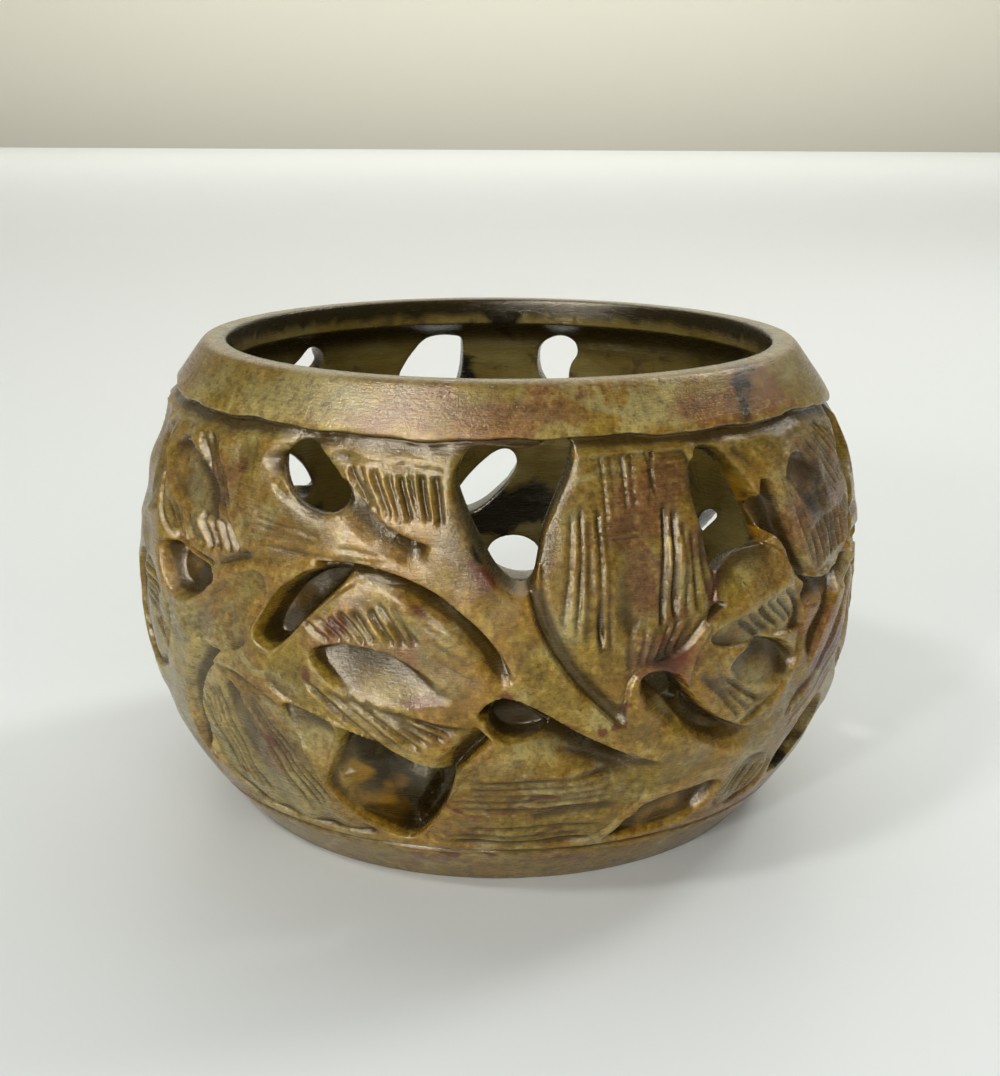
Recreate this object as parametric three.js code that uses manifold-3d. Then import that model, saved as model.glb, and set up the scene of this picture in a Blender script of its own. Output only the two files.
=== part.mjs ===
// Carved soapstone candle holder: a turned round bowl with an undercut hollow,
// a plain sloping rim band, a plain base ring, and between them a pierced and
// carved vine with broad leaves. One piece of stone.
//
// Millimetres, +Z up, origin at the centre of the underside. The side that
// faces -Y is azimuth 0, and azimuth grows towards +X.
import * as THREE from "three";
import { mergeVertices } from "three/addons/utils/BufferGeometryUtils.js";
import Module from "manifold-3d";

const wasm = await Module();
wasm.setup();

// ---- driving dimensions -------------------------------------------------
const HEIGHT = 63.7; // table to rim
const FLOOR = 6.6; // thickness of stone under the hollow
const MOUTH_R = 36.9; // inside of the rim
const LIP = 3.9; // height of the rim's inner wall, above the undercut
const OUTER_SEGMENTS = 60;
const INNER_SEGMENTS = 40;

// Outside profile as turned, before carving: [height, radius].
const PROFILE = [
  [0, 36.5], [6.5, 41.9], [13.8, 46.2], [21.1, 48.7], [28.4, 49.85],
  [33, 50], [37.5, 49.9], [43, 49.3], [50.3, 47.6], [57.6, 44.4],
  [60.6, 42.3], [63.7, 40.1],
];
// Hollow, from its floor up to the mouth: [height, radius].
const HOLLOW = [
  [FLOOR, 31], [8.4, 34.6], [12, 38.2], [17, 41], [24, 43], [32, 43.9],
  [40, 43.9], [48, 42.9], [55, 41.2], [58.2, 39.9],
  [HEIGHT - LIP, MOUTH_R], [HEIGHT + 2, MOUTH_R],
];
const BAND_GROOVE = { z: 57.15, half: 0.8, depth: 1.2 }; // under the rim band
const BASE_LINE = { z: 6.45, half: 0.45, depth: 0.5 }; // above the base ring

// Radius of the turned surface at height z: a Hermite curve through PROFILE.
function outerR(z) {
  const p = PROFILE;
  let i = 0;
  while (i < p.length - 2 && z > p[i + 1][0]) i++;
  const slope = (k) => {
    const a = p[Math.max(0, k - 1)], b = p[Math.min(p.length - 1, k + 1)];
    return (b[1] - a[1]) / (b[0] - a[0]);
  };
  const h = p[i + 1][0] - p[i][0], t = (z - p[i][0]) / h;
  const t2 = t * t, t3 = t2 * t;
  return (2 * t3 - 3 * t2 + 1) * p[i][1] + (t3 - 2 * t2 + t) * h * slope(i) +
    (3 * t2 - 2 * t3) * p[i + 1][1] + (t3 - t2) * h * slope(i + 1);
}

// ---- the carved design --------------------------------------------------
// Every place is [azimuth in degrees, height in mm] on the turned surface.
// WINDOWS go right through the wall. POCKETS stop at a depth, and dip is how
// much deeper the floor gets per degree and per mm from the pocket's middle.
// DISHES are the smooth hollow blades in the leaves. GROOVES are the V cuts
// along the leaves' edges.
const WINDOWS = {
  left: [[-31.8, 56.4], [-28.2, 57.0], [-26, 55.4], [-22.3, 53.8], [-19.6, 50.8], [-21.5, 49.4], [-26, 49.6], [-30, 51.6], [-32.2, 54.2]],
  middle: [[-5.6, 55.8], [-2, 56.8], [3, 56.7], [6, 57.2], [9.5, 57.6], [10.9, 56.6], [9.8, 54], [7.8, 50.8], [5.4, 47.2], [5.2, 43.8], [4.4, 41.4], [2.2, 40.8], [-0.8, 43], [-3.6, 47], [-5.6, 50.4], [-6.7, 53.2]],
  right: [[28.6, 54.8], [30.4, 56.4], [33.2, 56.4], [35.6, 55], [38.4, 51.2], [41, 47.6], [42.6, 45.4], [40.3, 44.7], [36.5, 44.9], [33.4, 44], [31.6, 42.4], [30.2, 44.4], [29.2, 48.5], [28.6, 52]],
  small: [[18.4, 30.2], [20.3, 31.6], [23, 31.2], [25.6, 30], [27, 28], [27.4, 26.2], [25, 26], [22, 27.2], [19.6, 28.6]],
  side: [[72, 54.4], [75.6, 56.2], [80, 55.6], [82, 52.4], [80.4, 48.8], [77, 46.6], [73.6, 47.6], [71.8, 51]],
  farTall: [[7.5, 56.6], [14, 57.1], [19.5, 55], [23.2, 50.5], [22, 46.5], [17, 44], [11.5, 45], [7.6, 49.5]],
  farKite: [[-18, 54.5], [-15, 57.1], [-10, 56.8], [-8, 53.5], [-9, 49.5], [-12.5, 46.2], [-16.4, 48.4], [-17.6, 51.5]],
  farSlant: [[10, 29.4], [6, 33.4], [0.6, 37.2], [-3, 37.4], [-4.4, 34.6], [-0.6, 30.4], [4.2, 27], [8.6, 26.2]],
  farLow: [[-11.4, 17.4], [-9, 21.4], [-4, 22.8], [1.6, 21.6], [3, 18.4], [-1, 15.6], [-7, 15.2]],
  crescent: [[-31.6, 33.4], [-30, 36.4], [-27.4, 38.8], [-24.6, 40], [-22.6, 38.8], [-23.4, 36.2], [-25.6, 33.4], [-28.6, 31.6]],
};
const POCKETS = {
  scoop: { at: [[-38, 54.8], [-35.6, 56.4], [-31, 56.4], [-30.4, 53.6], [-33, 51.6], [-36, 52.6]], depth: 2.0, dip: [0.35, 0] },
  tail: { at: [[-21.6, 51], [-18, 49.3], [-13, 47.5], [-8.6, 46.1], [-12, 45.8], [-17, 46.5], [-21, 48.4]], depth: 1.6, dip: [-0.16, 0] },
  arch: { at: [[-35.5, 33.2], [-33.6, 37], [-30, 40.4], [-26, 42.7], [-22.5, 43.7], [-18.6, 43.4], [-21, 41], [-24.2, 38.6], [-27.3, 35.9], [-30.3, 33.6], [-32.6, 32.2]], depth: 4.2, dip: [-0.08, 0] },
  wedge: { at: [[-22.4, 22.6], [-17, 22.4], [-12.5, 20.4], [-8.5, 19.4], [-6, 18.6], [-7.2, 15.6], [-9.4, 12.4], [-12.2, 9.4], [-14.4, 7.8], [-18.5, 8.9], [-22.5, 11.6], [-25.8, 15.2], [-24.4, 18.6]], depth: 4.6, dip: [0, 0.1] },
  facet: { at: [[-30.8, 26], [-26, 25.4], [-21, 23.7], [-23, 20.4], [-25.6, 15.8], [-28, 20.6]], depth: 1.3, dip: [0.16, 0] },
  sickle: { at: [[-1.6, 27.4], [0.2, 28.9], [3.2, 28.2], [7, 26.4], [10.5, 24.4], [14, 22.2], [19, 20.4], [25.3, 18.4], [20, 18.2], [14.5, 19.6], [11, 21.2], [7.5, 22.8], [3, 24.1], [0, 24.5], [-1.5, 25.6]], depth: 3.0, dip: [-0.12, 0.05] },
  step: { at: [[-7, 18.8], [-4.8, 21.8], [-1.8, 23.9], [1.5, 24.8], [1.6, 23.4], [-2, 21.4], [-4.6, 18.8], [-6.3, 16.8]], depth: 1.8, dip: [0, 0] },
  slot: { at: [[17.6, 7.4], [19.8, 9.2], [20.2, 11.2], [22.2, 12], [22.4, 13.2], [26, 13.9], [31, 14.5], [35.5, 14.4], [37.6, 12.8], [36.4, 9.8], [34, 8.2], [28, 7.5], [22, 7.3]], depth: 3.4, dip: [-0.06, 0.1] },
  hook: { at: [[18.2, 29.6], [19.5, 31.5], [24, 31], [26.4, 29], [28.4, 26.2], [31, 23.9], [34.5, 22.1], [38.5, 21.2], [36.5, 20.3], [31, 20.4], [27, 21.8], [23.5, 24.6], [20.5, 27]], depth: 3.6, dip: [-0.1, 0] },
  curl: { at: [[40.4, 50.2], [42, 51.3], [44.2, 50.8], [45.6, 48.6], [46.8, 45.6], [48.4, 42.8], [49.4, 40.6], [52, 38.3], [56, 37.4], [50.5, 36.6], [48.2, 37.8], [46.4, 41.2], [44.6, 43.8], [42, 46.4]], depth: 3.2, dip: [0, 0.05] },
  under: { at: [[49.8, 36.9], [55, 37.6], [61, 37.7], [66, 38.6], [62, 36], [56, 33.4], [51.4, 33.6], [49.9, 35]], depth: 1.6, dip: [-0.05, 0.1] },
  eye: { at: [[-59.5, 41.2], [-55, 41.7], [-50, 40.8], [-45.6, 40.2], [-43.6, 38.8], [-46.5, 36.6], [-51.5, 34.4], [-55.5, 34.6], [-58.4, 37.2]], depth: 3.8, dip: [0, 0.12] },
  cove: { at: [[-84, 54.6], [-78, 56.2], [-71, 55.8], [-66.6, 53.8], [-63.6, 51], [-61.4, 47.2], [-60.2, 43.8], [-66, 42.6], [-74, 41.8], [-82, 42.2], [-86, 46], [-86.6, 50.6]], depth: 2.0, dip: [0.03, 0] },
  foot: { at: [[-50.6, 19.8], [-51.4, 17.6], [-51, 15], [-49, 12.6], [-50, 10.8], [-54, 11.2], [-59, 11.6], [-56.4, 15.4], [-53.4, 18.6]], depth: 3.0, dip: [0.1, 0] },
  den: { at: [[49.4, 13.4], [52, 17.6], [55.2, 20.2], [59.6, 20.8], [63.6, 18], [62.4, 12.6], [57, 9.4], [51.6, 9.6]], depth: 4.6, dip: [0, 0.1] },
  farSlot: { at: [[5, 8], [8, 11], [13, 13.6], [18, 12.6], [19, 9.4], [15, 7.6], [9, 7.4]], depth: 2.6, dip: [0, 0.1] },
};
const DISHES = {
  topLeft: { at: [[-60.5, 53.6], [-55, 54], [-50, 52.4], [-46, 49.8], [-42.4, 46.4], [-44.5, 45.2], [-49, 45.2], [-54, 46.2], [-58.5, 49]], depth: 0.9 },
  hanging: { at: [[16.4, 50], [19, 51.4], [22, 50.6], [23.4, 46], [22.6, 41], [20.8, 37.6], [18, 36.2], [16.2, 38], [15.6, 44]], depth: 0.8 },
  broad: { at: [[-25, 31.5], [-21.5, 34.4], [-17, 35.1], [-12.5, 34.1], [-8.6, 31.8], [-6.4, 29.9], [-9.5, 28.7], [-14, 28.4], [-19, 28.1], [-23, 29.2]], depth: 1.3 },
  lowLeft: { at: [[-40.6, 26.2], [-37, 23.8], [-34.6, 20], [-32.4, 16], [-31.4, 12.6], [-35, 12.4], [-39, 15.2], [-41, 19.4], [-41.6, 23.2]], depth: 0.9 },
  lowMiddle: { at: [[-1, 14], [5, 15], [12, 15], [17.4, 14.4], [15, 12.4], [9, 11.2], [3, 11], [-0.6, 12]], depth: 0.6 },
  spoon: { at: [[31.5, 29.2], [35, 31.8], [39.5, 32.2], [44, 30.9], [47.6, 28.8], [46.5, 26.6], [42, 25.4], [36.5, 25.6], [33, 27]], depth: 1.2 },
  shade: { at: [[46.4, 50.8], [49, 53], [53, 52.8], [57.4, 50.6], [58.6, 47.4], [54.6, 45.8], [50, 47.4]], depth: 0.9 },
  outer: { at: [[66, 32.4], [70, 34.4], [75, 33.6], [79, 30], [80.4, 25], [77.6, 20.4], [73, 19.4], [68.6, 22.6], [66, 27.4]], depth: 1.1 },
  farLeaf: { at: [[-4.6, 50], [-1, 52.4], [3, 50.8], [4.6, 46], [2.8, 41.4], [-1, 39.6], [-4, 42.4]], depth: 0.9 },
  farBlade: { at: [[-21, 28], [-16.5, 31.4], [-11, 31], [-7.6, 27.6], [-11, 25.2], [-16.6, 25]], depth: 1.1 },
};
const GROOVES = {
  neck: { at: [[4.7, 42.2], [5.5, 38.2], [7.4, 34.8], [10, 31.4], [13.4, 28.2], [17.8, 24.6]], width: 2.0, depth: 1.7 },
  rib: { at: [[-38.8, 34], [-43.5, 30], [-46.9, 26.4], [-49.6, 22.4], [-51, 18.2], [-51.4, 15]], width: 2.2, depth: 1.7 },
  brow: { at: [[-20, 43.2], [-14, 42.9], [-8, 40.9], [-3, 37.4], [1.8, 32]], width: 2.2, depth: 1.5 },
  lap: { at: [[31.8, 43], [31.8, 40], [30, 37.4], [27, 34.8], [25.4, 32]], width: 1.6, depth: 1.1 },
  bank: { at: [[-40.5, 40], [-46, 41.4], [-52, 42.2], [-58, 42.4]], width: 1.6, depth: 0.9 },
  sill: { at: [[-33, 43.2], [-40, 40.6], [-45, 38.6]], width: 1.7, depth: 1.0 },
  ray: { at: [[55.6, 29.4], [60, 31.4], [64.6, 34.6], [69.4, 38.4]], width: 2.2, depth: 1.6 },
  loop: { at: [[60.6, 24.6], [63, 19.6], [67.4, 15], [72.4, 12.6], [78, 12]], width: 2.2, depth: 1.6 },
  keel: { at: [[-52.6, 31], [-57, 27.6], [-62.4, 24.4], [-70, 21.6]], width: 1.8, depth: 1.2 },
  farStem: { at: [[-7.6, 45], [-6.6, 40.4], [-8.6, 36.6], [-13, 34.4], [-18.4, 34]], width: 2.0, depth: 1.5 },
  farVein: { at: [[5.4, 44.6], [7, 40.4], [11.4, 36.4], [15.6, 32.4]], width: 1.8, depth: 1.3 },
};
// The vine goes round in four lengths. The front one is the fullest; the two at
// the sides repeat parts of it further round, and a short one closes the back.
const LENGTHS = [
  { turn: 0,
    windows: ["left", "middle", "right", "small", "side"],
    pockets: ["scoop", "tail", "arch", "wedge", "facet", "sickle", "step", "slot", "hook", "curl", "under", "eye", "cove", "foot", "den"],
    dishes: ["topLeft", "hanging", "broad", "lowLeft", "lowMiddle", "spoon", "shade", "outer"],
    grooves: ["neck", "rib", "brow", "lap", "bank", "sill", "ray", "loop", "keel"] },
  { turn: 107,
    windows: ["middle", "small"],
    pockets: ["tail", "arch", "wedge", "sickle", "step", "slot", "hook", "curl", "under"],
    dishes: ["hanging", "broad", "lowMiddle", "spoon"],
    grooves: ["neck", "brow", "lap"] },
  { turn: 180,
    windows: ["farTall", "farKite", "farSlant", "farLow"],
    pockets: ["farSlot"],
    dishes: ["farLeaf", "farBlade"],
    grooves: ["farStem", "farVein"] },
  { turn: -106,
    windows: ["left", "middle", "small", "crescent"],
    pockets: ["scoop", "tail", "arch", "wedge", "facet", "sickle", "step", "slot", "eye", "foot"],
    dishes: ["hanging", "broad", "lowLeft", "lowMiddle"],
    grooves: ["neck", "brow", "rib", "bank", "sill"] },
];

// ---- solids from three.js geometry --------------------------------------
const OUT = 2.4; // how far cutters stand outside the stone

function solid(geometry) {
  const g = geometry.clone();
  for (const name of ["normal", "uv"]) g.deleteAttribute(name);
  const m = mergeVertices(g, 1e-4);
  return new wasm.Manifold(new wasm.Mesh({
    numProp: 3,
    vertProperties: new Float32Array(m.attributes.position.array),
    triVerts: new Uint32Array(m.index.array),
  }));
}

function fromRings(vertices, triangles) {
  const g = new THREE.BufferGeometry();
  g.setAttribute("position", new THREE.Float32BufferAttribute(vertices.flat(), 3));
  g.setIndex(triangles.flat());
  const s = solid(g);
  return s.volume() < 0 ? solid(g.setIndex(triangles.map((t) => [t[0], t[2], t[1]]).flat())) : s;
}

// A place on the turned surface, sunk by depth along the radius.
function place(azimuth, z, depth) {
  const a = THREE.MathUtils.degToRad(azimuth);
  const r = outerR(THREE.MathUtils.clamp(z, 0, HEIGHT)) - depth;
  return [r * Math.sin(a), -r * Math.cos(a), z];
}

// A smooth closed outline through the given places, in count steps.
function outline(places, step) {
  const curve = new THREE.CatmullRomCurve3(
    places.map(([a, z]) => new THREE.Vector3(a * 0.86, z, 0)), true, "centripetal");
  const count = Math.max(8, Math.round(curve.getLength() / step));
  const pts = curve.getSpacedPoints(count).slice(0, count).map((v) => new THREE.Vector2(v.x / 0.86, v.y));
  return THREE.ShapeUtils.area(pts) < 0 ? pts.reverse() : pts;
}

// Straight-sided cutter over an outline, from outside the stone to depthAt.
function cutter(pts, depthAt) {
  const n = pts.length;
  const vertices = [...pts.map((p) => place(p.x, p.y, -OUT)), ...pts.map((p) => place(p.x, p.y, depthAt(p)))];
  const caps = THREE.ShapeUtils.triangulateShape(pts.map((p) => new THREE.Vector2(p.x * 0.86, p.y)), []);
  const triangles = [];
  for (const [a, b, c] of caps) triangles.push([a, b, c], [c + n, b + n, a + n]);
  for (let i = 0; i < n; i++) {
    const j = (i + 1) % n;
    triangles.push([j, i, i + n], [j, i + n, j + n]);
  }
  return fromRings(vertices, triangles);
}

function windowCutter(places) {
  const pts = outline(places, 3.9);
  return cutter(pts, (p) => outerR(p.y) - 33);
}

function pocketCutter({ at, depth, dip }) {
  const pts = outline(at, 4.5);
  const mid = pts.reduce((s, p) => s.add(p), new THREE.Vector2()).divideScalar(pts.length);
  return cutter(pts, (p) => Math.max(0.4, Math.min(5.0, depth + dip[0] * (p.x - mid.x) + dip[1] * (p.y - mid.y))));
}

function dishCutter({ at, depth }) {
  const pts = outline(at, 5.8);
  const n = pts.length;
  const mid = pts.reduce((s, p) => s.add(p), new THREE.Vector2()).divideScalar(n);
  const ring = (scale, d) => pts.map((p) => {
    const q = p.clone().sub(mid).multiplyScalar(scale).add(mid);
    return place(q.x, q.y, d);
  });
  const wall = 0.35; // how far in the slope reaches its depth
  const vertices = [...ring(1 + wall / depth, -1), ...ring(1 - wall, depth), place(mid.x, mid.y, depth * 1.15), place(mid.x, mid.y, -OUT)];
  const triangles = [];
  for (let i = 0; i < n; i++) {
    const j = (i + 1) % n;
    triangles.push([j, i, i + n], [j, i + n, j + n], [j + n, i + n, 2 * n], [i, j, 2 * n + 1]);
  }
  return fromRings(vertices, triangles);
}

function grooveCutter({ at, width, depth }) {
  const curve = new THREE.CatmullRomCurve3(at.map(([a, z]) => new THREE.Vector3(a * 0.86, z, 0)), false, "centripetal");
  const steps = Math.max(4, Math.round(curve.getLength() / 5.8));
  const vertices = [], triangles = [];
  for (let i = 0; i <= steps; i++) {
    const p = curve.getPointAt(i / steps), t = curve.getTangentAt(i / steps);
    const taper = 0.25 + 0.75 * Math.sin(Math.PI * THREE.MathUtils.clamp(i / steps, 0.1, 0.9));
    const d = depth * taper, up = 0.8, half = (width / 2) * taper * (1 + up / d);
    for (const side of [-1, 1])
      vertices.push(place((p.x - t.y * half * side) / 0.86, p.y + t.x * half * side, -up));
    vertices.push(place(p.x / 0.86, p.y, d));
  }
  for (let i = 0; i < steps; i++)
    for (let k = 0; k < 3; k++) {
      const a = 3 * i + k, b = 3 * i + ((k + 1) % 3);
      triangles.push([a, b, b + 3], [a, b + 3, a + 3]);
    }
  const e = 3 * steps;
  triangles.push([2, 1, 0], [e, e + 1, e + 2]);
  return fromRings(vertices, triangles);
}

// Turned body: the outside profile with its two lines, closed on the axis.
function turnedBody() {
  const heights = [0, 11.5, 18, 25.5, 33, 40.5, 47.5, 53, 60.6];
  const rows = heights.map((z) => [z, outerR(z)]);
  for (const g of [BASE_LINE, BAND_GROOVE])
    rows.push([g.z - g.half, outerR(g.z - g.half)], [g.z, outerR(g.z) - g.depth], [g.z + g.half, outerR(g.z + g.half)]);
  rows.sort((a, b) => a[0] - b[0]);
  const points = [new THREE.Vector2(0, 0), ...rows.map(([z, r]) => new THREE.Vector2(r, z)),
    new THREE.Vector2(outerR(HEIGHT) - 0.4, HEIGHT), new THREE.Vector2(0, HEIGHT)];
  return solid(new THREE.LatheGeometry(points, OUTER_SEGMENTS).rotateX(Math.PI / 2));
}

function hollow() {
  const points = [new THREE.Vector2(0, FLOOR), ...HOLLOW.map(([z, r]) => new THREE.Vector2(r, z)), new THREE.Vector2(0, HEIGHT + 2)];
  return solid(new THREE.LatheGeometry(points, INNER_SEGMENTS).rotateX(Math.PI / 2));
}

let stone = turnedBody().subtract(hollow());
const turned = (places, turn) => places.map(([a, z]) => [a + turn, z]);
for (const { turn, windows, pockets, dishes, grooves } of LENGTHS) {
  for (const k of dishes) stone = stone.subtract(dishCutter({ ...DISHES[k], at: turned(DISHES[k].at, turn) }));
  for (const k of grooves) stone = stone.subtract(grooveCutter({ ...GROOVES[k], at: turned(GROOVES[k].at, turn) }));
  for (const k of pockets) stone = stone.subtract(pocketCutter({ ...POCKETS[k], at: turned(POCKETS[k].at, turn) }));
  for (const k of windows) stone = stone.subtract(windowCutter(turned(WINDOWS[k], turn)));
}

function toGeometry(s) {
  const m = s.getMesh(), n = m.numProp;
  const v = new Float32Array(m.numVert * 3);
  for (let i = 0; i < m.numVert; i++) v.set(m.vertProperties.subarray(i * n, i * n + 3), i * 3);
  const g = new THREE.BufferGeometry();
  g.setAttribute("position", new THREE.BufferAttribute(v, 3));
  g.setIndex(new THREE.BufferAttribute(new Uint32Array(m.triVerts), 1));
  g.computeVertexNormals();
  return g;
}

const bowl = new THREE.Mesh(toGeometry(stone),
  new THREE.MeshStandardMaterial({ color: 0x8f8058, roughness: 0.38, metalness: 0 }));
bowl.name = "carved_bowl";

const holder = new THREE.Group();
holder.add(bowl);
export default holder;
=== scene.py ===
# Carved soapstone candle holder: the carved surface, its finish, and the scene.
import bpy, math
import numpy as np
from mathutils import Matrix, Vector


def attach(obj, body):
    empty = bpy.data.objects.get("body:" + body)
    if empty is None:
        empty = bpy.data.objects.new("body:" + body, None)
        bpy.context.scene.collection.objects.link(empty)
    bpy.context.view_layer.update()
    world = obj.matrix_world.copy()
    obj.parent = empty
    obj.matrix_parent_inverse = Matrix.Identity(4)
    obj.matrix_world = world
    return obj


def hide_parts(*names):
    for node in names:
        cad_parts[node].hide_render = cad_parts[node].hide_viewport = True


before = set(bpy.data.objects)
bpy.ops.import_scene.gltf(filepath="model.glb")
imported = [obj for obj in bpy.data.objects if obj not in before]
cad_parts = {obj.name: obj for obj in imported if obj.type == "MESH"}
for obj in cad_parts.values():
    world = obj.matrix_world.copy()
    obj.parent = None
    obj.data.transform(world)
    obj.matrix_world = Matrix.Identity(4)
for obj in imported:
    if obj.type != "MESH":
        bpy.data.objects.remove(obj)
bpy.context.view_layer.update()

rng = np.random.default_rng(7)

# ------------------------------------------------------------------ the form
# Millimetres here; the mesh is scaled to metres when it is made. Places are
# (azimuth in degrees from -Y towards +X, height in mm).
MM_PER_DEG = 0.86
H, FLOOR_Z, MOUTH_R, LIP = 63.7, 6.6, 36.9, 3.9
PROFILE = [(0, 36.5), (6.5, 41.9), (13.8, 46.2), (21.1, 48.7), (28.4, 49.85), (33, 49.92),
           (37.5, 49.85), (43, 49.3), (50.3, 47.6), (57.6, 44.4), (60.6, 42.3), (63.7, 40.1)]
HOLLOW = [(6.6, 31), (8.4, 34.6), (12, 38.2), (17, 41), (24, 43), (32, 43.9), (40, 43.9),
          (48, 42.9), (55, 41.2), (58.2, 39.9), (59.8, 36.9), (66, 36.9)]


def curve_1d(table, x):
    """A smooth curve through the table's points."""
    zs, rs = np.array(table, float).T
    m = np.gradient(rs, zs)
    x = np.clip(x, zs[0], zs[-1])
    i = np.clip(np.searchsorted(zs, x) - 1, 0, len(zs) - 2)
    h = zs[i + 1] - zs[i]
    t = (x - zs[i]) / h
    return ((2 * t**3 - 3 * t**2 + 1) * rs[i] + (t**3 - 2 * t**2 + t) * h * m[i]
            + (3 * t**2 - 2 * t**3) * rs[i + 1] + (t**3 - t**2) * h * m[i + 1])


NPHI, DPHI = 1440, 360.0 / 1440
DZ, DR = 0.22, 0.28
ZS = np.arange(-0.57, 64.6, DZ)
NZ = len(ZS)
DEPTH = np.zeros((NPHI, NZ))            # how far the surface is cut in, mm
# PAINTED_LINE_SHADE: where the knife's lines and grooves are; the material paints shade along them
PAINTED_LINE_SHADE = np.zeros((NPHI, NZ))           # where the knife's lines are
GAP = np.full((NPHI, NZ), 8.5)          # distance from the nearest through gap, mm
GAP_IN = np.full((NPHI, NZ), 8.5)       # the same at the inside of the wall


def step(x, a, b):
    t = np.clip((x - a) / (b - a), 0, 1)
    return t * t * (3 - 2 * t)


def flat(pts, turn=0.0):
    p = np.array(pts, float)
    return np.stack([(p[:, 0] + turn) * MM_PER_DEG, p[:, 1]], 1)


def soften(p, closed, times=2):
    """Cut a path's corners, so that it reads as cut by hand."""
    for _ in range(times):
        q = np.roll(p, -1, 0) if closed else p[1:]
        a = p if closed else p[:-1]
        mid = np.stack([a * 0.75 + q * 0.25, a * 0.25 + q * 0.75], 1).reshape(-1, 2)
        p = mid if closed else np.vstack([p[:1], mid, p[-1:]])
    return p


def patch(p, margin):
    """The part of the grid around a path."""
    i0 = int(np.ceil((p[:, 0].min() - margin) / MM_PER_DEG / DPHI))
    i1 = int(np.floor((p[:, 0].max() + margin) / MM_PER_DEG / DPHI))
    ii = np.arange(i0, i1 + 1)
    jj = np.where((ZS >= p[:, 1].min() - margin) & (ZS <= p[:, 1].max() + margin))[0]
    x, z = np.meshgrid(ii * DPHI * MM_PER_DEG, ZS[jj], indexing="ij")
    return np.ix_(ii % NPHI, jj), x, z


def to_path(x, z, p, closed):
    """Distance to a path, how far along it, and which side (+1 is right)."""
    best = np.full(x.shape, 1e9)
    along = np.zeros(x.shape)
    side = np.ones(x.shape)
    inside = np.zeros(x.shape, bool)
    q = np.roll(p, -1, 0) if closed else p[1:]
    a = p if closed else p[:-1]
    lens = np.hypot(*(q - a).T)
    total, run = lens.sum(), 0.0
    for (ax, az), (bx, bz), ln in zip(a, q, lens):
        if ln < 1e-9:
            continue
        dx, dz = bx - ax, bz - az
        t = np.clip(((x - ax) * dx + (z - az) * dz) / (ln * ln), 0, 1)
        ex, ez = x - ax - t * dx, z - az - t * dz
        d = ex * ex + ez * ez
        m = d < best
        best = np.where(m, d, best)
        along = np.where(m, (run + t * ln) / total, along)
        side = np.where(m, np.where(ex * dz - ez * dx >= 0, 1.0, -1.0), side)
        if closed:
            cross = (az > z) != (bz > z)
            inside ^= cross & (x < (bx - ax) * (z - az) / np.where(abs(dz) < 1e-9, 1e-9, dz) + ax)
        run += ln
    return np.sqrt(best), along, side, inside


def region(pts, turn, margin=1.5):
    p = soften(flat(pts, turn), True)
    w, x, z = patch(p, margin)
    d, _, _, inside = to_path(x, z, p, True)
    return w, x, z, np.where(inside, -d, d), p.mean(0)


def leaf(turn, at, d=0.4, gx=0.0, gz=0.0, crown=0.5, reach=3.0):
    """A leaf's own surface: its depth, slope and rounded border."""
    w, x, z, s, c = region(at, turn)
    own = d + gx * (x - c[0]) + gz * (z - c[1]) + crown * np.clip(1 + s / reach, 0, 1) ** 2
    k = step(-s, -0.05, 0.42)
    DEPTH[w] = DEPTH[w] * (1 - k) + np.maximum(own, 0.02) * k


def pocket(turn, at, d=3.0, gx=0.0, gz=0.0, wall=0.8, least=0.25):
    """A blind hole with steep walls and a sloping floor."""
    w, x, z, s, c = region(at, turn)
    own = np.clip(d + gx * (x - c[0]) + gz * (z - c[1]), least, 4.8)
    own = own + 0.10 * np.sin(x * 0.9 + z * 0.5) + 0.06 * np.sin(x * 0.5 - z * 1.4)
    DEPTH[w] = np.maximum(DEPTH[w], own * step(-s, -0.05, wall))


def dish(turn, at, d=1.0, to=(0.0, 1.0), wall=1.4, low=0.35):
    """A scooped blade, deepest towards one side."""
    w, x, z, s, c = region(at, turn)
    n = np.array(to, float) / math.hypot(*to)
    q = (x - c[0]) * n[0] + (z - c[1]) * n[1]
    ins = s < 0
    if not ins.any():
        return
    q = (q - q[ins].min()) / max(q[ins].max() - q[ins].min(), 1e-6)
    ramp = low + (1 - low) * np.clip(q, 0, 1)
    w_here = wall * (1.7 - 1.2 * np.clip(q, 0, 1))
    DEPTH[w] += d * ramp * np.clip(-s / w_here, 0, 1) ** 0.85 * ins


def ledge(turn, at, d=1.4, width=3.5, face=0.4, power=1.4, a=0.22, b=0.22):
    """One surface stands over the next: deep at the path, rising to the right."""
    p = soften(flat(at, turn), False)
    w, x, z = patch(p, width + 0.5)
    dist, t, side, _ = to_path(x, z, p, False)
    s = dist * side
    ends = step(t, 0.0, a) * step(1 - t, 0.0, b) if a and b else (step(t, 0, a) if a else step(1 - t, 0, b) if b else 1.0)
    off_end = (t <= 0.0) | (t >= 1.0)
    cut = np.where(s >= 0, np.clip(1 - s / width, 0, 1) ** power, np.clip(1 + s / face, 0, 1))
    cut = np.where(off_end & (dist > 0.3), cut * np.clip(1 - dist / 1.2, 0, 1), cut)
    DEPTH[w] = np.maximum(DEPTH[w], DEPTH[w] * 0.55 + d * ends * cut)


def groove(turn, at, d=1.2, width=1.8, a=0.18, b=0.18):
    """A V cut that rises to the surface at both ends."""
    p = soften(flat(at, turn), False)
    w, x, z = patch(p, width + 0.5)
    dist, t, _, _ = to_path(x, z, p, False)
    ends = step(t, -0.02, a) * step(1 - t, -0.02, b)
    DEPTH[w] += d * ends * np.clip(1 - dist / (width / 2 * (0.5 + 0.5 * ends)), 0, 1) ** 0.9


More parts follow.
